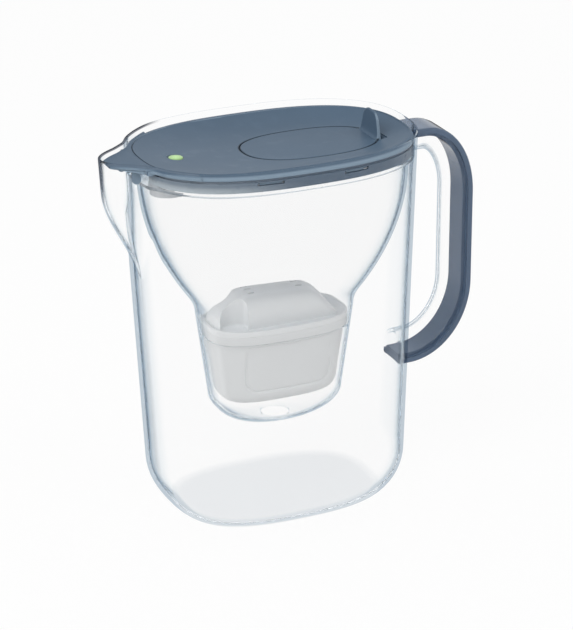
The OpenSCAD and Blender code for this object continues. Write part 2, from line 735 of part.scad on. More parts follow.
module capsule_hatch() {
    plug = 1.2;
    color(pale_grey) difference() {
        union() {
            translate([0, 0, capsule_base]) linear_extrude(capsule_wall) capsule_plan(0);
            translate([0, 0, capsule_base + capsule_wall - overlap]) linear_extrude(plug + overlap) difference() {
                capsule_plan(-capsule_wall - 0.1);
                capsule_plan(-capsule_wall - 1.1);
            }
        }
        translate([-capsule_distance, 0, capsule_base]) cube([12, 2, 1.2], center = true);
    }
}

module button_seal() {
    color([0.2, 0.26, 0.3]) translate([-button_distance, 0, seat_base]) difference() {
        cylinder(d = seal_outer - 0.02, h = button_surface - 0.5 - seat_base, $fn = 64);
        translate([0, 0, -1]) cylinder(d = button_diameter + 0.1, h = 10, $fn = 64);
    }
}

module light_button() {
    crown = 0.3;
    color([0.67, 0.83, 0.55]) translate([-button_distance, 0, 0]) union() {
        translate([0, 0, button_surface - 1.6]) cylinder(d = button_diameter - 0.1, h = 1.6 + crown, $fn = 64);
        translate([2.6, 0, stem_base]) cylinder(d = 2, h = button_surface - 1.4 - stem_base, $fn = 32);
    }
}

module circuit_board() {
    color([0.1, 0.35, 0.2]) translate([0, 0, board_height]) linear_extrude(board_thickness)
        capsule_plan(-capsule_wall - 0.1);
}

module reset_switch() {
    color([0.15, 0.15, 0.16]) translate([-button_distance + 2.6, 0, switch_base]) union() {
        translate([-1.8, -1.8, 0]) cube([3.6, 3.6, 1.6]);
        cylinder(d = 1.8, h = 2.2, $fn = 32);
    }
}

module light_diode() {
    color([0.9, 0.95, 0.85]) translate([-button_distance - 2.4, 0, switch_base]) union() {
        translate([-1.6, -1.4, 0]) cube([3.2, 2.8, 0.8]);
        cylinder(d = 2.2, h = 1.4, $fn = 32);
    }
}

module timer_chip() {
    color([0.08, 0.08, 0.09]) translate([-capsule_distance - 2.5, 4, switch_base]) cube([5, 5, 1.2]);
}

module coin_cell() {
    color([0.75, 0.76, 0.78]) translate([-capsule_distance, 0, cell_height]) union() {
        cylinder(d = cell_diameter, h = cell_thickness - 0.4, $fn = 96);
        cylinder(d = cell_diameter - 2.4, h = cell_thickness, $fn = 96);
    }
}

// One leaf spring from the board down to the cell's face, and one clip that reaches its side.
module cell_contacts() {
    leaf = 0.3;
    cell_top = cell_height + cell_thickness;
    color([0.85, 0.75, 0.5]) {
        translate([-capsule_distance - 4, -1.5, board_height - leaf]) cube([4, 3, leaf]);
        translate([-capsule_distance - 0.3, -1.5, cell_top + leaf]) cube([leaf, 3, board_height - cell_top - leaf]);
        translate([-capsule_distance - 0.3, -1.5, cell_top]) cube([5, 3, leaf]);
        translate([-capsule_distance + cell_diameter / 2 + 0.05, -1.5, cell_height]) cube([leaf, 3, board_height - cell_height]);
    }
}

// ---- cartridge ------------------------------------------------------------------------------------------------

housing_top = cap_base + cartridge_flange_height * 0.6;
housing_bottom = cap_base - housing_depth;
body_gap = 2.6;
housing_round = 8;
function cartridge_oval(half_length, half_width) =
    oval(half_length, half_width, cup_shift, cup_squareness);
function housing_half_length(z) = cup_half_length(z) - funnel_wall - body_gap;
function housing_half_width(z) = cup_half_width(z) - funnel_wall - body_gap;
function housing_ring(z, depth = 0) =
    ring(inset(cartridge_oval(housing_half_length(z), housing_half_width(z)), depth), z);
function housing_bottom_ring(angle, depth) =
    let (z = housing_bottom + depth + (housing_round - depth) * (1 - cos(angle)))
        ring(inset(cartridge_oval(housing_half_length(z), housing_half_width(z)),
                   depth + (housing_round - depth) * (1 - sin(angle))), z);
function flange_ring(z, depth = 0) =
    ring(inset(cartridge_oval(cartridge_length / 2, cartridge_width / 2), depth), z);

module cartridge_housing() {
    wall = cartridge_wall;
    angles = [0, 30, 60, 90];
    color(pale_grey) difference() {
        union() {
            skin(concat(
                [for (a = angles) housing_bottom_ring(a, 0)],
                [housing_ring(cap_base), flange_ring(cap_base), flange_ring(housing_top),
                 flange_ring(housing_top, 3.2), housing_ring(cap_base, wall)],
                [for (k = [3:-1:0]) housing_bottom_ring(angles[k], wall)]
            ));
            translate([cup_shift + 4, 0, housing_bottom - 3.5]) cylinder(r = 9, h = 4.5, $fn = 64);
        }
        for (k = [-3:3]) {
            translate([cup_shift + 4 + 2.2 * k, 0, housing_bottom - 2]) cube([1.1, 9, 12], center = true);
        }
    }
}

// Sections across the cap's ridge: [place along the cap, share of the ridge's height, share of its width].
ridge_sections = [
    [-47, 0.03, 0.45], [-45, 0.28, 0.7], [-41, 0.5, 0.9], [-35, 0.68, 1], [-28, 0.92, 1], [-21, 1, 0.97],
    [0, 0.97, 0.95], [21, 0.91, 0.93], [27, 0.78, 0.91], [32, 0.54, 0.88], [37, 0.22, 0.82], [40, 0.03, 0.74]
];
arch_count = 14;
function ridge_arch(section, depth, sink) =
    let (h = section[1] * ridge_height - depth, w = section[2] * ridge_width / 2 - depth)
        concat([for (k = [0:arch_count]) let (a = 180 * k / arch_count)
            [section[0] + cup_shift, -w * sign(cos(a)) * pow(abs(cos(a)), 0.75), cap_top - 1 + max(0.1, h + 1) * pow(sin(a), 0.8)]],
            [[section[0] + cup_shift, w, cap_top - sink], [section[0] + cup_shift, -w, cap_top - sink]]);

module cartridge_cap() {
    wall = cartridge_wall;
    plate = 2.4;
    pocket_depth = 2.2;
    color(pale_grey) difference() {
        union() {
            difference() {
                skin([flange_ring(housing_top + 0.02), flange_ring(cap_top - 0.8), flange_ring(cap_top, 0.8)]);
                skin([flange_ring(cap_top - pocket_depth, 5), flange_ring(cap_top + 1, 2)]);
                skin([flange_ring(housing_top - 1, 3.4), flange_ring(cap_top - pocket_depth - plate / 2, 3.4)]);
            }
            skin([for (s = ridge_sections) ridge_arch(s, 0, 3)]);
        }
        // The hollow of the ridge, beyond the finger hollows.
        skin([for (k = [5:len(ridge_sections) - 3]) ridge_arch(ridge_sections[k], wall, 6)]);
        for (side = [-1, 1]) {
            translate([cup_shift - 34, side * (ridge_width / 2 - 1.5), cap_top - pocket_depth])
                cylinder(r = finger_radius, h = ridge_height + 10, $fn = 48);
        }
        for (slot = [[-20, -6], [-20, 0], [-20, 6], [16, -4], [16, 4]]) {
            translate([slot[0] + cup_shift, slot[1], cap_top + ridge_height]) cube([5, 1.4, 14], center = true);
        }
    }
}

module inlet_mesh() {
    color([0.93, 0.94, 0.95]) difference() {
        skin([flange_ring(housing_top - 1.4, 3.5), flange_ring(housing_top - 0.6, 3.5)]);
        for (x = [-8:8], y = [-3:3]) {
            translate([cup_shift + 5 * x, 5 * y, housing_top - 1]) cube([3.2, 3.2, 4], center = true);
        }
    }
}

module outlet_mesh() {
    base = housing_bottom + cartridge_wall + 0.05;
    color([0.93, 0.94, 0.95]) translate([cup_shift + 4, 0, base]) difference() {
        cylinder(r = 11, h = 0.6, $fn = 64);
        for (x = [-3:3], y = [-3:3]) {
            if (norm([x, y]) < 3.4) translate([2.6 * x, 2.6 * y, 0]) cube([1.6, 1.6, 4], center = true);
        }
    }
}

module filter_granules() {
    color([0.2, 0.2, 0.2]) skin([
        housing_bottom_ring(40, cartridge_wall + 0.7), housing_bottom_ring(90, cartridge_wall + 0.7),
        housing_ring(cap_base - 1, cartridge_wall + 0.7)
    ]);
}

jug();
handle_channel();
handle_strip();
funnel();
lid_top();
lid_ring();
refill_flap();
spout_cover();
light_capsule();
capsule_hatch();
button_seal();
light_button();
circuit_board();
reset_switch();
light_diode();
timer_chip();
coin_cell();
cell_contacts();
cartridge_housing();
cartridge_cap();
inlet_mesh();
outlet_mesh();
filter_granules();
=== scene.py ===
"""Water filter pitcher with a flip lid: the visible pieces, their finishes and the stage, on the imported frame."""

import json
import math

import bmesh
import bpy
import numpy as np
from bpy.props import FloatProperty, FloatVectorProperty, IntProperty, PointerProperty
from mathutils import Matrix, Vector

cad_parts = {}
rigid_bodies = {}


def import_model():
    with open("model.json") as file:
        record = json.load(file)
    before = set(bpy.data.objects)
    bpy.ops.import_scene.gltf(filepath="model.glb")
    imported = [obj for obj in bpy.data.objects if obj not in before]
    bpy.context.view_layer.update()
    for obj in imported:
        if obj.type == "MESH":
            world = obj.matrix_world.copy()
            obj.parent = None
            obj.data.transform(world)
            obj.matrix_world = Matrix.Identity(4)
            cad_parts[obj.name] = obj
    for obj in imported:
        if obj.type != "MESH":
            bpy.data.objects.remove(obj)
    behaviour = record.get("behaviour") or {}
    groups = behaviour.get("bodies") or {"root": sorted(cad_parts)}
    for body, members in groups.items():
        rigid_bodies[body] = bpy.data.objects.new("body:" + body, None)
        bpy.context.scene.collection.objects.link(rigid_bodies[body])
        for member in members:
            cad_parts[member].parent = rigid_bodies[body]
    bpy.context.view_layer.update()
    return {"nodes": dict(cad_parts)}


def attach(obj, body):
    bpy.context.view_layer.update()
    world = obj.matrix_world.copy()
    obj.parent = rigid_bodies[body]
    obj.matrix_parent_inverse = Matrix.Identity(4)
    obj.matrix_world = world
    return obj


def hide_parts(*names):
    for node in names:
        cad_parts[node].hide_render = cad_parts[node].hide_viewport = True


for start_object in list(bpy.data.objects):
    bpy.data.objects.remove(start_object)
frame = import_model()

bl_info = {
    "name": "Water filter pitcher",
    "version": (1, 0, 0),
    "blender": (4, 5, 0),
    "location": "View3D > Sidebar > Pitcher",
    "description": "Builds a clear water filter pitcher with its funnel, cartridge and flip lid",
    "category": "Object",
}

MM = 0.001
SIDES = 288  # corners of an outline
DEEPEST = 6.5  # light that has met more surfaces than this leaves the clear plastic straight away

# ---- the jug's measures, in millimetres -------------------------------------------------------------------------

JUG_HEIGHT = 267.0
BASE_LENGTH, RIM_LENGTH = 175.0, 200.0
BASE_WIDTH, RIM_WIDTH = 131.0, 134.0
BASE_SHIFT = 3.6
SQUARENESS = 2.57
JUG_WALL, RIM_WALL, FLOOR = 2.8, 1.6, 3.0
BOTTOM_ROUND = 38.0
LEDGE = 249.5
LEDGE_SLOPE = 11.0

SPOUT_CROWDING = 0.55
SPOUT_DEPTH, SPOUT_FULL_DEPTH = 89.0, 25.0
SPOUT_REACH, SPOUT_TIP_RADIUS, SPOUT_BLEND = 20.5, 11.0, 8.0
SPOUT_WAIST = 2.4
WAIST_START, WAIST_RISE, WAIST_END, WAIST_FALL = 12, 7, 27, 19  # degrees from the spout's middle

GRIP_TOP, GRIP_FOOT = 17.7, 21.7  # depth of the handle at its two ends
GRIP_HALF = 13.0
CHANNEL_WALL = 2.2

CUP_SHIFT = 3.0
CUP_POWER = 2.9
CUP_BASE, CUP_ROUND, OUTLET_RADIUS = 65.5, 20.0, 10.0
SEAT = 130.0
BOWL_START = 145.0
FUNNEL_WALL = 1.8

RING_BASE, RING_TOP = 252.5, 260.5
BAND_BASE = 260.8
LID_EDGE = 264.2
LID_SHIFT = 1.85
DISH_FLOOR = 257.6
PIVOT = (74.6, 255.0)
BUTTON_X = -67.2
COVER_AXIS = (-94.2957, 262.5)
COVER_HALF, COVER_PLAY = 21.5, 0.3
COVER_SEAM = -93.2
CAP_BASE, HOUSING_TOP, CAP_TOP = 130.3, 136.3, 140.3


# ---- outlines and rings -----------------------------------------------------------------------------------------


def lerp(a, b, t):
    return a + (b - a) * t


def soft_step(t):
    """0 below 0, 1 above 1 and a smooth curve between."""
    t = np.clip(t, 0, 1)
    return t * t * (3 - 2 * t)


def bearings():
    """Bearings of an outline's corners, measured from the spout, where they crowd together."""
    turn = np.arange(SIDES) * 2 * np.pi / SIDES
    return turn - SPOUT_CROWDING * np.sin(turn)


def oval_radius(angle, half_length, half_width, power=SQUARENESS):
    return (np.abs(np.cos(angle) / half_length) ** power + np.abs(np.sin(angle) / half_width) ** power) ** (-1 / power)


def oval(half_length, half_width, shift, power=SQUARENESS):
    a = bearings()
    r = oval_radius(a, half_length, half_width, power)
    return np.stack([shift - r * np.cos(a), r * np.sin(a)], axis=1)


def inset(outline, depth):
    """The outline moved inward by a depth, square to itself."""
    along = np.roll(outline, -1, axis=0) - np.roll(outline, 1, axis=0)
    along /= np.linalg.norm(along, axis=1)[:, None]
    return outline - depth * np.stack([-along[:, 1], along[:, 0]], axis=1)


def ring(outline, height):
    """An outline at a height, or with a height for each corner."""
    height = np.broadcast_to(np.asarray(height, float), (len(outline),))
    return np.column_stack([outline, height])


def disc_outline(radius, middle=(0, 0), count=96):
    """A circle that runs the way the other outlines do."""
    a = np.arange(count) * 2 * np.pi / count
    return np.asarray(middle) + np.stack([np.cos(a), -np.sin(a)], axis=1) * radius


def jug_half_length(z):
    return lerp(BASE_LENGTH, RIM_LENGTH, z / JUG_HEIGHT) / 2


def jug_half_width(z):
    return lerp(BASE_WIDTH, RIM_WIDTH, z / JUG_HEIGHT) / 2


def jug_shift(z):
    return BASE_SHIFT * (1 - z / JUG_HEIGHT)


def jug_oval(z):
    return oval(jug_half_length(z), jug_half_width(z), jug_shift(z))


def spout_waist(a):
    """How far the walls are drawn in at a bearing, behind the spout on both sides: 0 to 1."""
    away = np.degrees(np.minimum(a % (2 * np.pi), -a % (2 * np.pi)))
    return soft_step((away - WAIST_START) / WAIST_RISE) * (1 - soft_step((away - WAIST_END) / WAIST_FALL))


def jug_outline(z):
    """The jug's plan at a height: an oval out of which the spout grows toward the rim."""
    growth = soft_step((z - JUG_HEIGHT + SPOUT_DEPTH) / (SPOUT_DEPTH - SPOUT_FULL_DEPTH))
    tip = jug_half_length(z) + SPOUT_REACH * growth
    a = bearings()
    wall = oval_radius(a, jug_half_length(z), jug_half_width(z))
    cos, sin = np.cos(a), np.sin(a)
    ahead = np.maximum(cos, 0.2)
    nose = 2 * tip / (ahead + np.sqrt(ahead**2 + 2 * tip * sin**2 / SPOUT_TIP_RADIUS))
    spout = np.where(cos < 0.2, 0, nose)
    blend = SPOUT_BLEND * growth
    r = np.maximum(wall, spout) + np.maximum(blend - np.abs(wall - spout), 0) ** 2 / (4 * max(blend, 0.01))
    r = r - SPOUT_WAIST * growth * spout_waist(a)
    return np.stack([jug_shift(z) - r * cos, r * sin], axis=1)


def rounded(points, radius, steps=4, closed=False):
    """A chain of points with its corners rounded; a corner whose legs are short gets a smaller radius."""
    points = [np.asarray(p, float) for p in points]
    count = len(points)
    radii = [radius] * count if np.isscalar(radius) else list(radius)
    result = []
    for i, p in enumerate(points):
        if not closed and i in (0, count - 1) or radii[i] <= 0:
            result.append(p)
            continue
        before, after = points[i - 1] - p, points[(i + 1) % count] - p
        leg_before, leg_after = np.linalg.norm(before), np.linalg.norm(after)
        before, after = before / leg_before, after / leg_after
        half = math.acos(max(-1, min(1, float(before @ after)))) / 2
        if half > math.radians(88):
            result.append(p)
            continue
        reach = min(radii[i] / math.tan(half), 0.45 * leg_before, 0.45 * leg_after)
        start, end = p + before * reach, p + after * reach
        for k in range(steps + 1):
            t = k / steps
            result.append((1 - t) ** 2 * start + 2 * t * (1 - t) * p + t * t * end)
    return result


def bottom_arc(base, inside, radius, angles):
    """Heights and depths of a rounded bottom edge, from the flat at 0 degrees to the wall at 90 degrees."""
    return [(base + radius * (1 - math.cos(a)), inside + radius * (1 - math.sin(a))) for a in angles]


def loft(rings, loop=False, caps=(True, True)):
    """Corners and faces of a skin over rings with the same number of corners."""
    rings = [np.asarray(r, float) for r in rings]
    count, rows = len(rings[0]), len(rings)
    i = np.arange(count)
    j = (i + 1) % count
    faces = []
    for k in range(rows if loop else rows - 1):
        low, high = k * count, ((k + 1) % rows) * count
        faces.extend(np.stack([low + i, high + i, high + j, low + j], axis=1).tolist())
    if not loop:
        if caps[0]:
            faces.append(i.tolist())
        if caps[1]:
            faces.append(((rows - 1) * count + i[::-1]).tolist())
    return facing_out(np.concatenate(rings), faces)


def facing_out(points, faces):
    """The closed shape with its faces turned outward."""
    volume = 0.0
    for size in {len(f) for f in faces}:
        corners = points[np.array([f for f in faces if len(f) == size])]
        fan = np.cross(corners[:, 1:-1], corners[:, 2:])
        volume += np.einsum("ij,ikj->", corners[:, 0], fan)
    return points, faces if volume >= 0 else [f[::-1] for f in faces]


def joined(*shapes):
    """Several shapes as one list of corners and faces."""
    corners, faces, start = [], [], 0
    for points, polygons in shapes:
        corners.append(np.asarray(points, float))
        faces.extend([[start + v for v in polygon] for polygon in polygons])
        start += len(points)
    return np.concatenate(corners), faces


def drum(radius, low, high, middle=(0, 0), edge=0.25, count=64, steps=3):
    """An upright disc with rounded edges."""
    profile = rounded([(low, 0.0), (low, radius), (high, radius), (high, 0.0)], edge, steps)[1:-1]
    return loft([ring(disc_outline(r, middle, count), z) for z, r in profile])


def turned(shape, matrix):
    points, faces = shape
    m = np.array(matrix)
    return points @ m[:3, :3].T + m[:3, 3], faces


def axle(radius, half_width, x, z, edge=0.2, count=48):
    """A round bar across the jug."""
    return turned(drum(radius, -half_width, half_width, edge=edge, count=count),
                  Matrix.Translation((x, 0, z)) @ Matrix.Rotation(math.pi / 2, 4, "X"))


def slab(low, high, edge=0.0):
    """A block between two corners, with rounded upright edges."""
    (x0, y0, z0), (x1, y1, z1) = low, high
    plan = np.asarray([(x0, y0), (x0, y1), (x1, y1), (x1, y0)], float)
    if edge <= 0:
        return loft([ring(plan, z0), ring(plan, z1)])
    plan = np.asarray(rounded(plan, edge, 4, closed=True))
    bevel = min(edge, 0.3, (z1 - z0) / 3)
    centre = plan.mean(axis=0)
    small = centre + (plan - centre) * (1 - bevel / np.abs(plan - centre).max(axis=0))
    return loft([ring(small, z0), ring(plan, z0 + bevel), ring(plan, z1 - bevel), ring(small, z1)])


def block(x0, x1, y0, y1, z0, z1):
    """A sharp block, for cutting."""
    return slab((x0, y0, z0), (x1, y1, z1))


def both_sides(near, far):
    """The two stretches of y from near to far on both sides of the middle, each from low to high."""
    return (-far, -near), (near, far)


# ---- pieces -----------------------------------------------------------------------------------------------------

CREASE = math.radians(32)


def raw_object(name, shape):
    """A mesh object of a shape, without a finish or a place in the frame yet."""
    points, faces = shape
    mesh = bpy.data.meshes.new(name)
    mesh.from_pydata((np.asarray(points) * MM).tolist(), [], faces)
    mesh.validate()
    obj = bpy.data.objects.new(name, mesh)
    bpy.context.scene.collection.objects.link(obj)
    return obj


def discard(obj):
    mesh = obj.data
    bpy.data.objects.remove(obj)
    bpy.data.meshes.remove(mesh)


def apply_modifiers(obj):
    bpy.context.view_layer.update()
    mesh = bpy.data.meshes.new_from_object(obj.evaluated_get(bpy.context.evaluated_depsgraph_get()))
    obj.modifiers.clear()
    old, obj.data = obj.data, mesh
    bpy.data.meshes.remove(old)


def combine(obj, shapes, operation):
    """Adds shapes to a piece or cuts them out of it, one after another."""
    for shape in shapes:
        tool = raw_object("tool", shape)
        change = obj.modifiers.new("combine", "BOOLEAN")
        change.operation = operation
        change.solver = "EXACT"
        change.object = tool
        apply_modifiers(obj)
        discard(tool)
    if not len(obj.data.polygons):
        raise RuntimeError(f"{obj.name}: nothing was left after {operation}")
    return obj


def join_pieces(target, others):
    """Puts the meshes of other objects into one piece."""
    mesh = bmesh.new()
    mesh.from_mesh(target.data)
    for other in others:
        mesh.from_mesh(other.data)
        discard(other)
    mesh.to_mesh(target.data)
    mesh.free()


def finished(obj, body, nodes, material):
    """Smooth shading with creases at sharp corners, the finish, and the place in the frame."""
    mesh = obj.data
    mesh.name = obj.name
    mesh.shade_smooth()
    mesh.set_sharp_from_angle(angle=CREASE)
    mesh.materials.clear()
    mesh.materials.append(material)
    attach(obj, body)
    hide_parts(*nodes)


def piece(name, shape, body, nodes, material):
    finished(raw_object(name, shape), body, nodes, material)


# ---- finishes ---------------------------------------------------------------------------------------------------


class Wire:
    """A socket of a finish's node tree, on which plain arithmetic adds Math nodes."""

    def __init__(self, finish, socket):
        self.finish, self.socket = finish, socket

    def _math(self, operation, *values):
        node = self.finish.add("ShaderNodeMath", {"operation": operation}, dict(enumerate(values)))
        return Wire(self.finish, node.outputs[0])

    def __add__(self, other):
        return self._math("ADD", self, other)

    __radd__ = __add__

    def __sub__(self, other):
        return self._math("SUBTRACT", self, other)

    def __rsub__(self, other):
        return self._math("SUBTRACT", other, self)

    def __mul__(self, other):
        return self._math("MULTIPLY", self, other)

    __rmul__ = __mul__

    def __pow__(self, other):
        return self._math("POWER", self, other)

    def __abs__(self):
        return self._math("ABSOLUTE", self)

    def larger(self, other):
        return self._math("MAXIMUM", self, other)

    def above(self, other):
        return self._math("GREATER_THAN", self, other)

    def stepped(self, low, high, out_low=0.0, out_high=1.0):
        """The value moved from one range to another on a smooth curve."""
        node = self.finish.add("ShaderNodeMapRange", {"interpolation_type": "SMOOTHSTEP"},
                               {0: self, 1: low, 2: high, 3: out_low, 4: out_high})
        return Wire(self.finish, node.outputs[0])


class Finish:
    """A material that is put together from nodes."""

    def __init__(self, name):
        self.material = bpy.data.materials.new(name)
        self.material.use_nodes = True
        self.tree = self.material.node_tree
        self.tree.nodes.clear()
        self.output = self.tree.nodes.new("ShaderNodeOutputMaterial")
        self._place = None

    def link(self, value, socket):
        if isinstance(value, Wire):
            self.tree.links.new(value.socket, socket)
        elif isinstance(value, bpy.types.NodeSocket):
            self.tree.links.new(value, socket)
        elif isinstance(value, (tuple, list)) and len(value) == 3 and socket.type == "RGBA":
            socket.default_value = (*value, 1.0)
        else:
            socket.default_value = value

    def add(self, kind, settings=None, inputs=None):
        node = self.tree.nodes.new(kind)
        for key, value in (settings or {}).items():
            setattr(node, key, value)
        for key, value in (inputs or {}).items():
            self.link(value, node.inputs[key])
        return node

    def wire(self, kind, settings=None, inputs=None, output=0):
        return Wire(self, self.add(kind, settings, inputs).outputs[output])

    @property
    def place(self):
        """Object coordinates."""
        if self._place is None:
            self._place = self.wire("ShaderNodeTexCoord", output="Object")
        return self._place

    def along(self, axis):
        parts = self.add("ShaderNodeSeparateXYZ", inputs={0: self.place})
        return Wire(self, parts.outputs[axis])

    def noise(self, scale, detail=3.0, roughness=0.55, stretch=None):
        place = self.place
        if stretch:
            place = self.wire("ShaderNodeVectorMath", {"operation": "MULTIPLY"}, {0: place, 1: stretch})
        return self.wire("ShaderNodeTexNoise", {"noise_dimensions": "3D"},
                         {"Vector": place, "Scale": scale, "Detail": detail, "Roughness": roughness})

    def mix(self, factor, a, b):
        node = self.add("ShaderNodeMix", {"data_type": "RGBA"})
        self.link(factor, node.inputs[0])
        self.link(a, node.inputs[6])
        self.link(b, node.inputs[7])
        return Wire(self, node.outputs[2])

    def bump(self, height, strength, distance, normal=None):
        inputs = {"Height": height, "Strength": strength, "Distance": distance}
        if normal is not None:
            inputs["Normal"] = normal
        return self.wire("ShaderNodeBump", None, inputs)

    def facing(self, blend=0.5):
        return self.wire("ShaderNodeLayerWeight", None, {"Blend": blend}, output="Facing")

    def principled(self, **inputs):
        node = self.add("ShaderNodeBsdfPrincipled")
        for key, value in inputs.items():
            self.link(value, node.inputs[key.replace("_", " ")])
        return node.outputs[0]

    def blend(self, share, first, second):
        return self.add("ShaderNodeMixShader", None, {0: share, 1: first, 2: second}).outputs[0]

    def see_through(self, colour):
        return self.add("ShaderNodeBsdfTransparent", None, {"Color": colour}).outputs[0]

    def surface(self, shader):
        self.tree.links.new(shader, self.output.inputs["Surface"])
        return self.material


def linear(colour):
    """A colour as it is seen, 0 to 255, as the linear values that shaders use."""
    result = []
    for c in colour:
        c = c / 255
        result.append(c / 12.92 if c <= 0.04045 else ((c + 0.055) / 1.055) ** 2.4)
    return tuple(result)


def tinted(colour, factor):
    return tuple(min(1.0, c * factor) for c in colour)


def moulded(name, colour, roughness=0.34, grain=2600.0, grain_depth=0.000012, drift=0.05, specular=0.5,
            coat=0.0, side=None, seams=(), fade=None):
    """Opaque moulded plastic: a fine spark-eroded grain, slow drift of tone and faint rubbed patches.
    Its steep long sides may have a tone of their own, painted light and shade for the way light falls on them,
    and its seams may be painted dark as shade: each is an oval's half length, half width, middle and power, the
    line's half width, where it starts and ends along the jug, and the height above which it stops. The tone may
    fade to another along the jug and toward the bottom, as painted light."""
    f = Finish(name)
    cloud = f.noise(9.0, 4.0)
    flow = f.noise(30.0, 3.0, stretch=(0.35, 1.0, 1.6))
    fine = f.noise(grain, 2.0, 0.6)
    rubbed = f.noise(75.0, 5.0, 0.65).stepped(0.52, 0.72)
    base = f.mix(cloud.stepped(0.3, 0.7), tinted(colour, 1 - drift), tinted(colour, 1 + drift))
    base = f.mix(rubbed * 0.18, base, tinted(colour, 1.22))
    # Painted light and shade: faces turned to the sides take the side tone, as if lit differently from the rest.
    if side:
        facing = f.add("ShaderNodeSeparateXYZ", inputs={0: f.wire("ShaderNodeNewGeometry", output="Normal")})
        base = f.mix(abs(Wire(f, facing.outputs[1])).stepped(0.30, 0.62), base, side)
    # Painted light: the tone fades toward the other one near the spout end and the lower edge.
    if fade:
        other, start, end, low, high = fade
        share = f.along(0).stepped(start * MM, end * MM, 1.0, 0.0)
        share = share * f.along(2).stepped(low * MM, high * MM, 1.0, 0.25)
        base = f.mix(share, base, other)
    base = f.mix(fine.stepped(0.35, 0.65) * 0.14, base, tinted(colour, 0.82))
    # Painted shade: each seam is a dark line where shade falls in the lid's gaps and creases.
    for half_length, half_width, middle, power, line, start, end, top in seams:
        along_x, along_y = f.along(0) - middle * MM, f.along(1)
        reach = (abs(along_x * (1 / (half_length * MM))) ** power + abs(along_y * (1 / (half_width * MM))) ** power)
        off = abs(reach ** (1 / power) - 1.0)
        mark = off.stepped(line * 0.6, line * 1.5, 1.0, 0.0)
        mark = mark * f.along(0).stepped(start * MM, (start + 6) * MM)
        mark = mark * f.along(0).stepped((end - 6) * MM, end * MM, 1.0, 0.0)
        mark = mark * f.along(2).stepped((top - 0.4) * MM, top * MM, 1.0, 0.0)
        base = f.mix(mark * 0.85, base, tinted(colour, 0.30))
    rough = roughness + (flow - 0.5) * 0.10 - rubbed * 0.06 + (fine - 0.5) * 0.05
    normal = f.bump(fine, 0.35, grain_depth)
    normal = f.bump(flow, 0.12, 0.00012, normal)
    return f.surface(f.principled(Base_Color=base, Roughness=rough, Normal=normal, IOR=1.5,
                                  Specular_IOR_Level=specular, Coat_Weight=coat, Coat_Roughness=0.12))


def clear(name, body, edge, outline, density, roughness=0.01, ior=1.07, edge_range=(0.46, 0.66),
          outline_range=(0.62, 0.76), absorb=(0.78, 0.84, 0.88), weight=1.0, dark_rim=None):
    """Clear moulded plastic. Its edges carry the plastic's own pale tint; fine rubbing shows in the gloss."""
    f = Finish(name)
    facing = f.facing(0.5)
    rubbed = f.noise(55.0, 5.0, 0.6).stepped(0.5, 0.8)
    hair = f.noise(420.0, 2.0, 0.5, stretch=(0.25, 1.0, 2.4)).stepped(0.62, 0.8)
    ripple = f.noise(16.0, 2.0)
    tone = f.mix(facing.stepped(*edge_range), body, edge)
    rough = roughness + rubbed * 0.012 + hair * 0.02
    normal = f.bump(ripple, 0.10, 0.0006)
    normal = f.bump(hair, 0.08, 0.00003, normal)
    glass = f.principled(Base_Color=tone, Roughness=rough, Normal=normal, IOR=ior, Transmission_Weight=weight)
    # Seen along its skin the plastic is a plain pale line.
    lined = f.blend(facing.stepped(*outline_range), glass, f.see_through(outline))
    if dark_rim:
        # The rim round the far side of the spout, and the spout's nose, mirror the dark side of the room.
        height, tip = dark_rim
        x, y, z = f.along(0), f.along(1), f.along(2)
        rim = z.stepped((height - 1.5) * MM, (height - 0.9) * MM) * x.stepped(-0.072, -0.052, 1.0, 0.0)
        rim = rim * y.stepped(-0.010, -0.002)
        nose = x.stepped((tip + 1.0) * MM, (tip + 3.4) * MM, 1.0, 0.0) * z.stepped(0.222, 0.252)
        nose = nose * facing.stepped(0.30, 0.60)
        lined = f.blend(rim.larger(nose) * 0.9, lined, f.see_through(linear((104, 108, 118))))
        # Below about 7 to 9 mm the jug is a little greyer than the walls.
        lined = f.blend(z.stepped(0.0068, 0.0092, 1.0, 0.0), lined, f.see_through(linear((246, 247, 248))))
    # Shadows pass, and light that was thrown about inside the walls many times leaves them.
    path = f.add("ShaderNodeLightPath")
    passing = Wire(f, path.outputs["Is Shadow Ray"]).larger(Wire(f, path.outputs["Is Diffuse Ray"]))
    trapped = Wire(f, path.outputs["Ray Depth"]).above(DEEPEST)
    both = f.blend(passing.larger(trapped), lined, f.see_through(tinted(body, 0.985)))
    if density > 0:
        soak = f.add("ShaderNodeVolumeAbsorption", None, {"Color": absorb, "Density": density})
        f.tree.links.new(soak.outputs[0], f.output.inputs["Volume"])
    return f.surface(both)


# ---- jug and handle ---------------------------------------------------------------------------------------------


def jug_shape():
    """The jug with its rounded bottom, growing spout, rim and the slope on which the funnel sits."""
    turn = np.radians(np.linspace(0, 90, 17))
    outer = bottom_arc(0, 0, BOTTOM_ROUND, turn)
    outer += [(z, 0.0) for z in (60, 85, 110, 135, 160)]
    outer += [(z, 0.0) for z in np.linspace(178, JUG_HEIGHT, 23)[:-1]]
    slope = LEDGE - LEDGE_SLOPE
    rim = rounded([outer[-1], (JUG_HEIGHT, 0.0), (JUG_HEIGHT, RIM_WALL), (LEDGE, RIM_WALL), (slope, JUG_WALL)],
                  [0, 0.62, 0.62, 0.3, 0], 5)[1:]
    inner = [(z, JUG_WALL) for z in np.linspace(JUG_HEIGHT, 178, 23) if z < slope - 1]
    inner += [(z, JUG_WALL) for z in (160, 135, 110, 85, 60)]
    inner += bottom_arc(FLOOR, JUG_WALL, BOTTOM_ROUND - JUG_WALL, turn[::-1])
    return loft([ring(inset(jug_outline(z), depth), z) for z, depth in outer + rim + inner])


def handle_wall(y, z):
    return jug_shift(z) + jug_half_length(z) * (1 - (abs(y) / jug_half_width(z)) ** SQUARENESS) ** (1 / SQUARENESS)


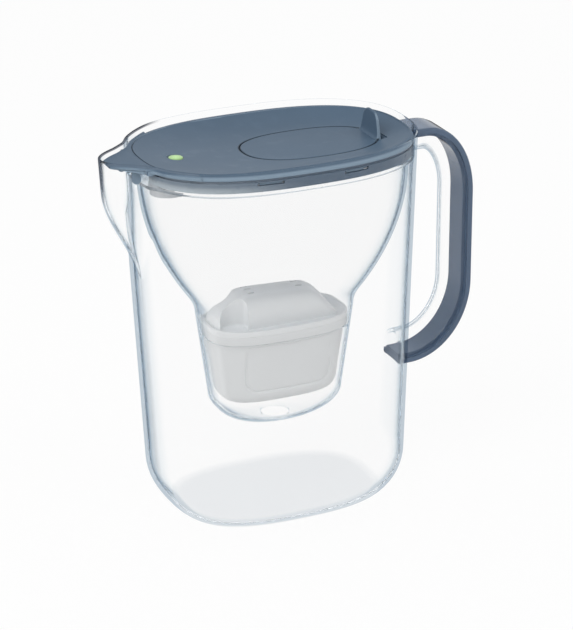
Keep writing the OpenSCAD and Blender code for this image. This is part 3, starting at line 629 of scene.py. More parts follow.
def handle_line(steps=30):
    """The handle's outer face as stations of place and outward direction in the middle plane."""
    line = []
    for middle, size, start, end in (((112, 210), (35.2, 50), 90, 0), ((100, 145), (47.2, 55), 0, -90)):
        for k in range(steps + 1):
            a = math.radians(lerp(start, end, k / steps))
            out = Vector((math.cos(a) / size[0], math.sin(a) / size[1])).normalized()
            line.append((middle[0] + size[0] * math.cos(a), middle[1] + size[1] * math.sin(a), out.x, out.y))
    return line


def between(a, b, count):
    """Rings from one on the way to another, which is left out."""
    a, b = np.asarray(a), np.asarray(b)
    return [lerp(a, b, t) for t in np.linspace(0, 1, count + 1)[:-1]]


def handle_sweep(section):
    """A section of places (across, share of the grip's depth, depth) swept along the handle to the jug's wall."""
    line = handle_line()
    last = len(line) - 1
    rings = []
    for s in range(-1, last + 2):
        station = min(last, max(0, s))
        place_x, place_z, out_x, out_z = line[station]
        grip = lerp(GRIP_TOP, GRIP_FOOT, station / last)
        points = []
        for across, share, depth in section:
            d = depth + share * grip
            z = place_z - out_z * d
            x = place_x - out_x * d if s == station else handle_wall(across, z) + 0.02
            points.append((x, across, z))
        rings.append(points)
    # A few rings between the wall and the first bend keep the faces short.
    return between(rings[0], rings[1], 3) + rings[1:-1] + between(rings[-1], rings[-2], 3)[::-1]


def folded_caps(shape, count, rows):
    """End faces that run between corners facing each other over the section's middle."""
    points, faces = shape
    for i in range(count // 2 - 1):
        quad = [i, i + 1, count - 2 - i, count - 1 - i]
        faces.append(quad)
        faces.append([(rows - 1) * count + v for v in quad[::-1]])
    return points, faces


def channel_shape():
    """The clear half-round channel that is moulded with the jug."""
    arch = np.radians(np.linspace(0, 180, 33))
    outer = [(GRIP_HALF * math.cos(a), 1, GRIP_HALF * (math.sin(a) - 1)) for a in arch]
    hollow = GRIP_HALF - CHANNEL_WALL
    inner = [(hollow * math.cos(a), 1, hollow * math.sin(a) - GRIP_HALF) for a in arch[::-1]]
    section = [(12.7, 0, 4.02), (13.0, 0, 4.4)] + outer + [(-13.0, 0, 4.4), (-12.7, 0, 4.02)]
    section += [(-11.1, 0, 4.02), (-10.8, 0, 4.4)] + inner + [(10.8, 0, 4.4), (11.1, 0, 4.02)]
    rings = handle_sweep(section)
    return folded_caps(loft(rings, caps=(False, False)), len(section), len(rings))


def strip_shape():
    """The coloured strip that closes the channel, with its rounded outer edges and its tongue."""
    tongue = 9.45
    corner = [(13.0, 2.2), (13.0, 1.4), (12.9, 0.8), (12.6, 0.35), (12.1, 0.1), (11.4, 0.0)]
    top = [(y, 0.0) for y in (9.5, 6.4, 3.2, 0.0, -3.2, -6.4, -9.5)]
    outer = [(-y, 0, d) for y, d in corner] + [(-y, 0, d) for y, d in top] + [(y, 0, d) for y, d in corner[::-1]]
    under = [(13.0, 3.7), (12.75, 3.98), (tongue + 0.1, 3.98), (tongue, 4.3), (tongue, 6.1), (tongue - 0.4, 6.5)]
    foot = [(y, 6.5) for y in (6.0, 3.0, 1.0, 0.0, -1.0, -3.0, -6.0)]
    inner = [(y, 0, d) for y, d in under] + [(y, 0, d) for y, d in foot] + [(-y, 0, d) for y, d in under[::-1]]
    section = outer + inner
    rings = handle_sweep(section)
    return folded_caps(loft(rings, caps=(False, False)), len(section), len(rings))


# ---- funnel -----------------------------------------------------------------------------------------------------

FLANGE_BASE, FLANGE_TOP = 249.8, 252.2
BOWL = (91.7448, 61.8034, 2.58191)


def cup_half_length(z):
    return 52.5 + 0.138 * (z - SEAT)


def cup_half_width(z):
    return 30.1 + 0.065 * (z - SEAT)


def bowl_opening(z):
    """How far the bowl has opened at a height: 0 at the cup, 1 at the flange."""
    u = (z - BOWL_START) / (FLANGE_BASE - BOWL_START)
    v = 0 if u <= 0 else u * u / 0.24 if u < 0.12 else u - 0.06
    return 1 - (1 - min(1, v / 0.94)) ** 2.1


def funnel_half_length(z):
    return cup_half_length(z) if z <= BOWL_START else lerp(cup_half_length(BOWL_START), BOWL[0], bowl_opening(z))


def funnel_outline(z):
    t = bowl_opening(z)
    half_width = cup_half_width(z) if z <= BOWL_START else lerp(cup_half_width(BOWL_START), BOWL[1], t)
    return oval(funnel_half_length(z), half_width, lerp(CUP_SHIFT, BOWL[2], t), lerp(CUP_POWER, SQUARENESS, t))


def funnel_inside(z):
    slope = funnel_half_length(z + 0.5) - funnel_half_length(z - 0.5)
    return inset(funnel_outline(z), FUNNEL_WALL * math.sqrt(1 + slope * slope))


def cup_bottom(angle, depth):
    """A ring of the cup's rounded bottom, from the outlet to the wall."""
    s, c = math.sin(angle), math.cos(angle)
    top = CUP_BASE + CUP_ROUND
    half_length, half_width = (lerp(OUTLET_RADIUS, half(top) - depth, s) for half in (cup_half_length, cup_half_width))
    return ring(oval(half_length, half_width, CUP_SHIFT, lerp(2, CUP_POWER, s)),
                CUP_BASE + depth + CUP_ROUND * (1 - c))


def funnel_shape():
    """The funnel: a cup for the cartridge that opens into a bowl, and the flange on which it sits in the jug."""
    turn = np.radians([0, 4, 9, 15, 22, 30, 38, 46, 54, 62, 70, 78, 84, 90])
    low = list(np.linspace(92, 140, 9))
    high = list(BOWL_START + (FLANGE_BASE - BOWL_START) * np.linspace(0, 0.955, 34) ** 1.15)
    rings = [cup_bottom(a, 0) for a in turn]
    rings += [ring(funnel_outline(z), z) for z in low + high]
    bowl = oval(*BOWL)
    rings += [ring(bowl, FLANGE_BASE - 0.7), ring(inset(bowl, -0.2), FLANGE_BASE - 0.15),
              ring(inset(bowl, -0.8), FLANGE_BASE)]
    rim = inset(jug_oval(FLANGE_BASE), 1.9)
    # The flange keeps clear of the walls where they are drawn in behind the spout.
    middle = np.array([jug_shift(FLANGE_BASE), 0.0])
    drawn = (SPOUT_WAIST + 0.3) * spout_waist(bearings()) / np.linalg.norm(rim - middle, axis=1)
    rim = middle + (rim - middle) * (1 - drawn)[:, None]
    rings += [ring(inset(rim, 0.3), FLANGE_BASE), ring(rim, FLANGE_BASE + 0.3), ring(rim, FLANGE_TOP - 0.4),
              ring(inset(rim, 0.12), FLANGE_TOP - 0.12), ring(inset(rim, 0.4), FLANGE_TOP)]
    top = inset(bowl, FUNNEL_WALL)
    rings += [ring(inset(top, -0.6), FLANGE_TOP), ring(inset(top, -0.15), FLANGE_TOP - 0.15),
              ring(top, FLANGE_TOP - 0.7)]
    rings += [ring(funnel_inside(z), z) for z in high[::-1] + [140, 136, 132]]
    for z, step in ((SEAT + 0.3, 0.1), (SEAT, 0.4), (SEAT, 1.4), (SEAT - 2, 1.4), (SEAT - 5, 0.0)):
        rings.append(ring(inset(funnel_outline(z), FUNNEL_WALL + step), z))
    rings += [ring(inset(funnel_outline(z), FUNNEL_WALL), z) for z in (118, 110, 102, 92)]
    rings += [cup_bottom(a, FUNNEL_WALL) for a in turn[::-1]]
    return loft(rings, loop=True)


# ---- lid --------------------------------------------------------------------------------------------------------

FLAP_MIDDLE, FLAP_HALF_LENGTH, FLAP_HALF_WIDTH = 28.7, 47.5, 28.0
FLAP_POWER = 2.4
SNAP_PLACES = (-27, 34)
BARREL_HALF, EAR_GAP, EAR_WIDTH = 13.5, 0.4, 3.6

# Seams painted dark as shade: half length, half width, middle, power, line, start, end, top.
FLAP_SEAM = (47.95, 28.45, FLAP_MIDDLE, FLAP_POWER, 0.020, -40, 100, 258.6)
EDGE_SEAM = (93.95, 57.95, LID_SHIFT, SQUARENESS, 0.0035, -120, -58, 275)


def ring_oval(depth=0.0):
    return inset(oval(95.3457, 64.4635, LID_SHIFT), depth)


def edge_oval(depth=0.0):
    return inset(oval(94.4457, 58.4635, LID_SHIFT), depth)


def flap_oval(grow=0.0):
    return oval(FLAP_HALF_LENGTH + grow, FLAP_HALF_WIDTH + grow, FLAP_MIDDLE, FLAP_POWER)


def dish_height(share):
    return lerp(DISH_FLOOR, LID_EDGE, (1 - share) ** 1.45)


def dish_ring(share, below=0.0, seam=1.15):
    return ring(lerp(edge_oval(), flap_oval(seam), share), dish_height(share) - below)


def spout_mask():
    """How much of the crease beside the spout piece each corner of an outline carries."""
    a = bearings()
    return np.clip((np.cos(a) - 0.70) / 0.12, 0, 1) ** 0.7


def button_surface():
    span = 93.4957 - 0.9
    return dish_height((span + BUTTON_X) / (span + FLAP_MIDDLE - FLAP_HALF_LENGTH))


def straight(outline, low, high):
    """An upright solid over an outline."""
    return loft([ring(outline, low), ring(outline, high)])


def between_outlines(outer, inner, low, high):
    """A hollow wall between two outlines."""
    return loft([ring(outer, low), ring(outer, high), ring(inner, high), ring(inner, low)], loop=True)


def lid_top_shape():
    """The lid: sloping band, dish that falls to the refill opening, and the lip that enters the ring."""
    rings = [ring(ring_oval(4.0), 257.0), ring(ring_oval(3.6), 256.6), ring(ring_oval(2.8), 256.6),
             ring(ring_oval(2.4), 257.0), ring(ring_oval(2.4), BAND_BASE), ring(ring_oval(0.35), BAND_BASE),
             ring(ring_oval(0.1), 260.88), ring(ring_oval(0.0), 261.1)]
    outer, inner = ring_oval(), edge_oval()
    for t in np.linspace(0, 1, 13)[1:-1]:
        a = t * math.pi / 2
        rings.append(ring(lerp(outer, inner, 1 - math.cos(a)), 261.1 + 3.02 * math.sin(a)))
    groove = spout_mask()
    for depth, sink in ((0.0, 0.0), (0.12, 0.1), (0.22, 0.5), (0.55, 0.55), (0.68, 0.12), (0.85, 0.03)):
        rings.append(ring(edge_oval(depth), LID_EDGE - 0.06 * (depth > 0) - sink * groove - 0.03 * depth))
    rings += [dish_ring(s) for s in np.linspace(0.035, 1, 26)]
    for t in (0.25, 0.5, 0.75, 1.0):
        a = t * math.pi / 2
        rings.append(ring(flap_oval(0.8 + 0.35 * (1 - math.sin(a))), DISH_FLOOR - 0.35 * (1 - math.cos(a))))
    rings += [ring(flap_oval(0.8), 256.4), ring(flap_oval(0.8), 255.8), ring(flap_oval(1.0), 255.6)]
    rings += [dish_ring(s, 2.0) for s in np.linspace(0.98, 0.12, 12)]
    rings.append(ring(ring_oval(6.0), 260.4))
    return loft(rings, loop=True)


def lid_blocks():
    """What hangs under the lid's plate: the ears of the flap's hinge and the pad over the capsule."""
    inner = BARREL_HALF + EAR_GAP
    seat = button_surface() - 3.4
    return [*(slab((71.2, y0, 251.6), (81.0, y1, 256.6), 0.5) for y0, y1 in both_sides(inner, inner + EAR_WIDTH)),
            capsule_plan_shape(0.0, seat, seat + 2.0, 0.15)]


def fin_pocket():
    """The ramp behind the fin, to which it leans when the flap is open, and the corners beside the flap's end."""
    ramp = [(76.8, 252.4), (76.8, 253.1), (77.55, 254.3), (77.6, 255.45), (79.5, 257.35), (80.9, 257.6), (80.9, 252.4)]
    wedge = loft([[(x, y, z) for x, z in ramp] for y in (-13.85, 13.85)])
    corners = [slab((71.05, y - 1.9, 255.5), (75.6, y + 1.9, 257.52), 0.15) for y in (-16.0, 16.0)]
    return joined(wedge, slab((76.0, -17.4, 252.2), (82.4, 17.4, 252.9), 0.1), *corners)


def flap_ledge():
    """The ledge on which the front of the flap rests."""
    chain = [(253.8, 3.2), (255.9, 3.2), (255.9, 0.75), (255.3, 0.6), (255.3, -2.2), (253.8, -2.2)]
    return loft([ring(flap_oval(depth), z) for z, depth in rounded(chain, 0.2, 3, closed=True)], loop=True)


def capsule_plan(grow):
    """Outline of the capsule: a disc with a square tail, going round as the other outlines do."""
    radius, half = 11.5 + grow, 8.5 + grow
    start = math.asin(half / radius)
    arc = np.linspace(start, 2 * np.pi - start, 73)
    points = [(-73.2 + radius * math.cos(a), -radius * math.sin(a)) for a in arc]
    return np.asarray([(-56.2 + grow, -half)] + points + [(-56.2 + grow, half)])


def capsule_plan_shape(grow, low, high, edge=0.2):
    plan, small = capsule_plan(grow), capsule_plan(grow - edge)
    return loft([ring(small, low), ring(plan, low + edge), ring(plan, high - edge), ring(small, high)])


def cover_room(start, low, high):
    """Room for the spout cover and its barrel."""
    x, z = COVER_AXIS
    half, radius = COVER_HALF + COVER_PLAY, 2.05
    return [block(start, COVER_SEAM, -half, half, low, high), block(-94.3, x + radius, -half, half, low, z),
            axle(radius, half, x, z, edge=0.02, count=96)]


def lid_cuts():
    """The fin's notch, pin holes, the straight front edge and the button's hole."""
    return [slab((72.0, -13.9, 251.6), (80.5, 13.9, 260.1), 0.6), axle(1.35, 30, *PIVOT),
            *cover_room(-124.3, 256.2, 265.2), drum(5.8, 253.6, 267.6, (BUTTON_X, 0), edge=0.0001, count=96)]


def spout_plate(low, edge_width, edge_drop):
    """A plate over the whole of the jug's plan, with a sloping edge; the spout's pieces are cut from it."""
    plan = jug_outline(LID_EDGE)
    profile = rounded([(low, 2.2), (LID_EDGE - edge_drop, 2.2), (LID_EDGE, 2.2 + edge_width), (LID_EDGE, 6.0)],
                      [0, 0.3, 0.3, 0], 4)[:-1]
    return loft([ring(inset(plan, depth), z) for z, depth in profile])


def shoulder_cuts():
    return [straight(edge_oval(-0.10), 255.0, 268.0), block(-70, 140, -90, 90, 250, 270),
            *cover_room(-200, 250, 270)]


def ear_blocks():
    """Blocks under the shoulders that hold the spout cover's pins."""
    inner = COVER_HALF + COVER_PLAY
    return [slab((-96.4, y0, 260.1), (-91.5, y1, 263.0), 0.25) for y0, y1 in both_sides(inner, inner + 3)]


def ring_shape():
    """The ring under the lid."""
    chain = rounded([(RING_BASE, 0.0), (RING_TOP - 1.2, 0.0), (RING_TOP - 1.2, 0.9), (RING_TOP, 0.9), (RING_TOP, 2.2),
                     (RING_BASE, 2.2)], [0.5, 0.3, 0.2, 0.2, 0.15, 0.4], 4, closed=True)
    return loft([ring(ring_oval(depth), z) for z, depth in chain], loop=True)


def ring_cuts():
    """The ring's gap at the spout and its snap windows."""
    cuts = [block(-105.3, -81.3, -16.0, 16.0, 251, 262), block(-105.3, -81.3, -25.8, 25.8, RING_TOP - 1.2, 262)]
    return cuts + [block(x - 9, x + 9, y0, y1, 256.7, 258.7) for y0, y1 in both_sides(58.4, 70.4) for x in SNAP_PLACES]


def snap_tab_shapes():
    """Tabs of the lid's lip that show in the ring's windows."""
    tabs = []
    outer, inner = ring_oval(1.25), ring_oval(3.0)
    for side in (-1, 1):
        for x in SNAP_PLACES:
            keep = (np.sign(outer[:, 1]) == side) & (np.abs(outer[:, 0] - x) < 8)
            a, b = outer[keep], inner[keep]
            if side < 0:
                a, b = a[::-1], b[::-1]
            if a[0, 0] > a[-1, 0]:
                a, b = a[::-1], b[::-1]
            plan = np.concatenate([a, b[::-1]]) if side > 0 else np.concatenate([a[::-1], b])
            tabs.append(loft([ring(plan, 256.95), ring(plan, 258.5)]))
    return tabs


# ---- refill flap and spout cover --------------------------------------------------------------------------------


def flap_plate_shape():
    """The flap's plate, with softened edges and a shallow dished top."""
    rings = [ring(flap_oval(-0.3), 255.6), ring(flap_oval(), 255.9), ring(flap_oval(), 257.25),
             ring(flap_oval(-0.1), 257.48), ring(flap_oval(-0.35), 257.59)]
    rings += [ring(flap_oval(-d), 257.6 - 0.10 * (1 - math.exp(-d / 6))) for d in (1.5, 3, 5, 8, 12, 17, 22)]
    return loft(rings)


def fin_shape():
    """The thumb fin: a foot as wide as the flap's end that flares forward, drawn in to a rounded top."""
    foot, radius, top, thick = 13.5, 8.5, 20.1, 2.6
    middle = foot - radius - 2.5
    first = math.radians(14.5)
    levels = [(z, foot) for z in (0.0, 0.6, 1.4, 2.2, 2.6, 3.0)]
    levels += [(lerp(3.0, top - radius + radius * math.sin(first), t), lerp(foot, middle + radius * math.cos(first), t))
               for t in np.linspace(0, 1, 15)[1:]]
    levels += [(top - radius + radius * math.sin(a), middle + radius * math.cos(a))
               for a in np.radians(np.concatenate([np.linspace(18, 72, 12), np.linspace(75, 90, 8)]))]
    edge = np.array([(w, z) for z, w in levels] + [(0.0, top)])
    dense = np.concatenate([np.linspace(a, b, 12) for a, b in zip(edge[:-1], edge[1:])])
    rings = []
    for z, w in levels:
        across = w * np.sin(np.linspace(-0.5, 0.5, 33) * math.pi)
        near = np.array([np.min(np.hypot(dense[:, 0] - abs(y), dense[:, 1] - z)) for y in across])
        round_off = np.sqrt(np.clip(1 - (1 - np.clip(near / 0.9, 0, 1)) ** 2, 0, 1))
        half = np.maximum((thick / 2 - 0.3 * soft_step((z - 3) / 17)) * round_off, 0.02)
        flare = 1.7 * math.exp(-max(z - 2.5, 0.0) / 1.3) * (0.4 + 0.6 * round_off)
        front = np.column_stack([74.6 - half - flare, across, np.full(33, 255.0 + z)])
        back = np.column_stack([74.6 + half, across, np.full(33, 255.0 + z)])[::-1]
        rings.append(np.concatenate([front, back]))
    return loft(rings)


def flap_cuts():
    sides = [block(70.6, 100, y0, y1, 250, 262) for y0, y1 in both_sides(BARREL_HALF, 40)]
    return [block(PIVOT[0], 140, -90, 90, 250, 262), *sides]


def cover_shapes():
    """Barrel, pins, cheeks and lugs of the spout cover."""
    disc = [(-99.9957 + 3 * math.cos(t), 254.9 - 3 * math.sin(t)) for t in np.radians(np.linspace(0, 180, 17))]
    plan = [(-98.4, 262.7)] + disc + [(-102.9957, 262.7)]
    lugs = [loft([[(x, y, z) for x, z in plan] for y in ends]) for ends in both_sides(12.4, 14.2)]
    return [axle(1.6, COVER_HALF, *COVER_AXIS, edge=0.15), axle(0.9, 24.0, *COVER_AXIS, edge=0.1), *lugs]


def cover_rail():
    """The cover's cheeks, which run along the spout's walls and out toward the tip."""
    plan = jug_outline(LID_EDGE)
    outer, inner, top = inset(plan, 2.2), inset(plan, 3.7), LID_EDGE - 1.0
    low = top - 0.72 * np.clip(3.6 - 0.176 * (-97.8 - outer[:, 0]), 0.2, 3.6)
    return loft([ring(outer, low), ring(outer, top), ring(inner, top), ring(inner, low)], loop=True)


def cover_keep():
    return block(-115.6, COVER_AXIS[0], -COVER_HALF, COVER_HALF, 250, 270)


# ---- cartridge --------------------------------------------------------------------------------------------------

RIDGE = [(-47, 0.03, 0.45), (-45, 0.28, 0.7), (-41, 0.5, 0.9), (-35, 0.68, 1), (-28, 0.92, 1), (-21, 1, 0.97),
         (0, 0.97, 0.95), (21, 0.91, 0.93), (27, 0.78, 0.91), (32, 0.54, 0.88), (37, 0.22, 0.82), (40, 0.03, 0.74)]


def cartridge_oval(half_length, half_width, depth=0.0):
    return inset(oval(half_length, half_width, CUP_SHIFT, CUP_POWER), depth)


def housing_ring(z, depth=0.0):
    return ring(cartridge_oval(cup_half_length(z) - 4.4, cup_half_width(z) - 4.4, depth), z)


def flange_ring(z, depth=0.0):
    return ring(cartridge_oval(50.4, 28.0, depth), z)


def housing_shape():
    """The housing: rounded bottom, drafted walls with a sunk panel on each broad side, and the lower flange."""
    turn = np.radians(np.linspace(0, 90, 11))
    rings = [housing_ring(*place) for place in bottom_arc(83.3, 0, 8, turn)]
    rings += [housing_ring(z) for z in np.linspace(92, 129.6, 72)]
    rings += [housing_ring(130.2, -0.15), flange_ring(CAP_BASE, 0.5), flange_ring(CAP_BASE + 0.15, 0.15),
              flange_ring(CAP_BASE + 0.5), flange_ring(HOUSING_TOP - 0.3), flange_ring(HOUSING_TOP, 0.25),
              flange_ring(HOUSING_TOP, 3.2), housing_ring(CAP_BASE, 1.5)]
    rings += [housing_ring(*place) for place in bottom_arc(84.8, 1.5, 6.5, turn[::-2])]
    points, faces = loft(rings)
    return sink_panels(points), faces


def sink_panels(points):
    """A shallow groove that frames a panel on the housing's broad sides."""
    x, y, z = points.T
    half_x, low_z, radius = 31.0, 93.5, 9.0
    u = np.abs(x - CUP_SHIFT - 1.0)
    # Distance to the line of a panel that is open at the top and rounded below.
    qx, qz = u - (half_x - radius), (low_z + radius) - z
    corner = np.hypot(np.maximum(qx, 0), np.maximum(qz, 0)) + np.minimum(np.maximum(qx, qz), 0) - radius
    line = np.exp(-(corner / 0.7) ** 2) * (z < 124) * np.clip((124 - z) / 6, 0, 1)
    outside = (np.abs(y) > 18) & (z > 92) & (z < 129)
    sink = np.where(outside, 0.85 * line + 0.40 / (1 + np.exp(corner / 0.25)) * (z < 128), 0.0)
    result = points.copy()
    result[:, 1] -= np.sign(y) * sink
    return result


def ridge_arch(section):
    x, share, width = section
    h, w = share * 20.0, width * 18.0
    a = np.linspace(0, np.pi, 41)
    cos, sin = np.cos(a), np.sin(a)
    ys = -w * np.sign(cos) * np.abs(cos) ** 0.75
    zs = CAP_TOP - 1 + max(0.1, h + 1) * np.abs(sin) ** 0.8
    points = list(zip(ys, zs)) + [(w, CAP_TOP - 3), (-w, CAP_TOP - 3)]
    return np.asarray([(x + CUP_SHIFT, y, z) for y, z in points])


def ridge_sections(per_span=6):
    """The ridge's sections with smooth ones between them."""
    table = np.asarray(RIDGE, float)
    rows = []
    for k in range(len(table) - 1):
        p0, p1, p2, p3 = table[max(k - 1, 0)], table[k], table[k + 1], table[min(k + 2, len(table) - 1)]
        for t in np.arange(per_span) / per_span:
            x = lerp(p1[0], p2[0], t)
            m1 = (p2 - p0) / max(p2[0] - p0[0], 1e-6) * (p2[0] - p1[0])
            m2 = (p3 - p1) / max(p3[0] - p1[0], 1e-6) * (p2[0] - p1[0])
            row = ((2 * t**3 - 3 * t**2 + 1) * p1 + (t**3 - 2 * t**2 + t) * m1 * 0.8
                   + (-2 * t**3 + 3 * t**2) * p2 + (t**3 - t**2) * m2 * 0.8)
            rows.append((x, max(0.03, min(1.0, row[1])), min(1.0, row[2])))
    rows.append(tuple(table[-1]))
    return rows


def cap_plate_shape():
    """The cap's plate: upper flange with a softened rim, and the pocket from which the ridge rises."""
    rings = [flange_ring(HOUSING_TOP + 0.02, 0.25), flange_ring(HOUSING_TOP + 0.3), flange_ring(CAP_TOP - 0.9),
             flange_ring(CAP_TOP - 0.45, 0.08), flange_ring(CAP_TOP - 0.15, 0.35), flange_ring(CAP_TOP, 0.8),
             flange_ring(CAP_TOP, 1.7), flange_ring(CAP_TOP - 0.2, 2.2), flange_ring(CAP_TOP - 0.9, 3.1),
             flange_ring(CAP_TOP - 1.7, 4.3), flange_ring(CAP_TOP - 2.1, 5.4), flange_ring(CAP_TOP - 2.2, 7.0)]
    rings += [flange_ring(CAP_TOP - 2.2, d) for d in (10, 14, 19)]
    rings += [flange_ring(CAP_TOP - 3.4, d) for d in (19, 14, 10, 3.4)]
    return loft(rings + [flange_ring(HOUSING_TOP + 0.02, 3.4)], loop=True)


def ridge_shape():
    return loft([ridge_arch(section) for section in ridge_sections()])


def ridge_cuts():
    """The finger hollows and the slots in the crest."""
    hollows = [drum(9.6, 138.35, 172.0, (-32.6, y), edge=0.9, count=96, steps=5) for y in (-14.2, 14.2)]
    slots = [block(x - 2.5, x + 2.5, y - 0.7, y + 0.7, 142.0, 168.0)
             for x, y in ((-17, -6), (-17, 0), (-17, 6), (19, -4), (19, 4))]
    return hollows + slots


# ---- repeated details -------------------------------------------------------------------------------------------


class Growth:
    """A geometry node tree with named inputs, built in order and applied to one piece."""

    def __init__(self, name, inputs):
        self.tree = bpy.data.node_groups.new(name, "GeometryNodeTree")
        face = self.tree.interface
        face.new_socket(name="Geometry", in_out="INPUT", socket_type="NodeSocketGeometry")
        self.values = {}
        for label, (kind, value) in inputs.items():
            item = face.new_socket(name=label, in_out="INPUT", socket_type=kind)
            self.values[item.identifier] = value
        face.new_socket(name="Geometry", in_out="OUTPUT", socket_type="NodeSocketGeometry")
        self.start = self.tree.nodes.new("NodeGroupInput")
        self.end = self.tree.nodes.new("NodeGroupOutput")

    def add(self, kind, settings=None, inputs=None):
        node = self.tree.nodes.new(kind)
        for key, value in (settings or {}).items():
            setattr(node, key, value)
        for key, value in (inputs or {}).items():
            if isinstance(value, bpy.types.NodeSocket):
                self.tree.links.new(value, node.inputs[key])
            else:
                node.inputs[key].default_value = value
        return node

    def math(self, operation, *values):
        return self.add("ShaderNodeMath", {"operation": operation}, dict(enumerate(values))).outputs[0]

    def joined(self, *sockets):
        node = self.add("GeometryNodeJoinGeometry")
        for socket in sockets:
            self.tree.links.new(socket, node.inputs[0])
        return node.outputs[0]

    def finish(self, socket, material):
        real = self.add("GeometryNodeRealizeInstances", None, {0: socket})
        painted = self.add("GeometryNodeSetMaterial", None, {"Geometry": real.outputs[0], "Material": material})
        self.tree.links.new(painted.outputs[0], self.end.inputs[0])

    def apply(self, obj):
        change = obj.modifiers.new("growth", "NODES")
        change.node_group = self.tree
        for identifier, value in self.values.items():
            change[identifier] = value
        apply_modifiers(obj)
        if not len(obj.data.polygons):
            raise RuntimeError(f"{obj.name}: its geometry nodes gave no faces")
        return obj


def grow_granules(obj, material):
    """Carbon and resin grains bedded in the surface of the filling."""
    g = Growth("granules", {"Grains per square metre": ("NodeSocketFloat", 3.2e5),
                            "Grain radius": ("NodeSocketFloat", 0.00075),
                            "Seed": ("NodeSocketInt", stage_settings().grains)})
    body, density, radius, seed = g.start.outputs[:4]
    points = g.add("GeometryNodeDistributePointsOnFaces", {"distribute_method": "RANDOM"},
                   {"Mesh": body, "Density": density, "Seed": seed})
    grain = g.add("GeometryNodeMeshIcoSphere", None, {"Radius": radius, "Subdivisions": 1})
    size = g.add("FunctionNodeRandomValue", {"data_type": "FLOAT_VECTOR"},
                 {0: (0.45, 0.45, 0.45), 1: (0.95, 0.95, 0.95), "Seed": seed})
    turn = g.add("FunctionNodeRandomValue", {"data_type": "FLOAT_VECTOR"},
                 {0: (0.0, 0.0, 0.0), 1: (6.28, 6.28, 6.28), "Seed": 11})
    laid = g.add("GeometryNodeInstanceOnPoints", None,
                 {"Points": points.outputs["Points"], "Instance": grain.outputs["Mesh"],
                  "Scale": size.outputs[0], "Rotation": turn.outputs[0]})
    g.finish(g.joined(body, laid.outputs[0]), material)
    return g.apply(obj)


def grow_screen(obj, material, middle, half_length, half_width, power, pitch, wire, height):
    """A moulded screen: crossing wires on a grid inside the piece's frame."""
    g = Growth("screen", {"Pitch": ("NodeSocketFloat", pitch), "Wire": ("NodeSocketFloat", wire),
                          "Half length": ("NodeSocketFloat", half_length),
                          "Half width": ("NodeSocketFloat", half_width)})
    body, step, thick, reach_x, reach_y = g.start.outputs[:5]
    across, deep = int(2 * half_length / pitch) + 1, int(2 * half_width / pitch) + 1
    grid = g.add("GeometryNodeMeshGrid", None,
                 {"Size X": g.math("MULTIPLY", step, float(across - 1)),
                  "Size Y": g.math("MULTIPLY", step, float(deep - 1)),
                  "Vertices X": across, "Vertices Y": deep})
    place = g.add("GeometryNodeInputPosition")
    parts = g.add("ShaderNodeSeparateXYZ", None, {0: place.outputs[0]})
    term_x = g.math("POWER", g.math("DIVIDE", g.math("ABSOLUTE", parts.outputs[0]), reach_x), power)
    term_y = g.math("POWER", g.math("DIVIDE", g.math("ABSOLUTE", parts.outputs[1]), reach_y), power)
    outside = g.math("GREATER_THAN", g.math("ADD", term_x, term_y), 1.0)
    kept = g.add("GeometryNodeDeleteGeometry", {"domain": "POINT"},
                 {"Geometry": grid.outputs["Mesh"], "Selection": outside})
    moved = g.add("GeometryNodeTransform", None,
                  {"Geometry": kept.outputs[0], "Translation": (middle[0], middle[1], height)})
    size_x = g.add("ShaderNodeCombineXYZ", None, {0: step, 1: thick, 2: thick})
    size_y = g.add("ShaderNodeCombineXYZ", None, {0: thick, 1: step, 2: thick})
    bar_x = g.add("GeometryNodeMeshCube", None, {"Size": size_x.outputs[0]})
    bar_y = g.add("GeometryNodeMeshCube", None, {"Size": size_y.outputs[0]})
    cross = g.joined(bar_x.outputs["Mesh"], bar_y.outputs["Mesh"])
    laid = g.add("GeometryNodeInstanceOnPoints", None, {"Points": moved.outputs[0], "Instance": cross})
    g.finish(g.joined(body, laid.outputs[0]), material)
    return g.apply(obj)


# ---- settings ---------------------------------------------------------------------------------------------------


def colour_property(name, description, colour):
    return FloatVectorProperty(name=name, description=description, default=linear(colour), size=3, min=0, max=1,
                               subtype="COLOR")


class PitcherColours(bpy.types.PropertyGroup):
    """Colours of the pitcher's plastics"""

    slate: colour_property("Lid", "Colour of the lid, the flap and the spout cover", (86, 106, 126))
    # Painted light: the lid's sloping sides get a lighter colour for the light that falls on them.
    band: colour_property("Lid sides", "Colour of the painted_light sides of the lid", (134, 153, 170))
    deep_slate: colour_property("Ring", "Colour of the ring under the lid", (84, 101, 119))
    strip: colour_property("Handle strip", "Colour of the see-through strip in the handle", (102, 122, 147))
    clear_body: colour_property("Clear plastic", "Tone of the clear plastic seen face on", (254, 254, 254))
    clear_edge: colour_property("Clear edges", "Tone of the clear plastic seen edge on", (233, 238, 241))
    clear_outline: colour_property("Clear outline", "Tone of the clear plastic at its very outline", (223, 229, 234))
    cartridge: colour_property("Cartridge", "Colour of the cartridge", (238, 240, 241))
    lens: colour_property("Button", "Colour of the button of the change light", (164, 204, 134))


class PitcherStage(bpy.types.PropertyGroup):
    """Light and camera"""

    world: FloatProperty(name="Room light", description="Strength of the even light from all round",
                         default=0.70, min=0)
    key: FloatProperty(name="Main lamp", description="Power of the large lamp at the left",
                       default=16.0, min=0, unit="POWER")
    fill: FloatProperty(name="Side lamp", description="Power of the lamp at the right",
                        default=5.0, min=0, unit="POWER")
    focal: FloatProperty(name="Focal length", description="Focal length of the camera",
                         default=157.18, min=1, unit="CAMERA")
    grains: IntProperty(name="Seed", description="Seed of everything that is scattered", default=7, min=0)


# ---- operators --------------------------------------------------------------------------------------------------


def colours():
    return bpy.context.scene.pitcher_colours


def stage_settings():
    return bpy.context.scene.pitcher_stage


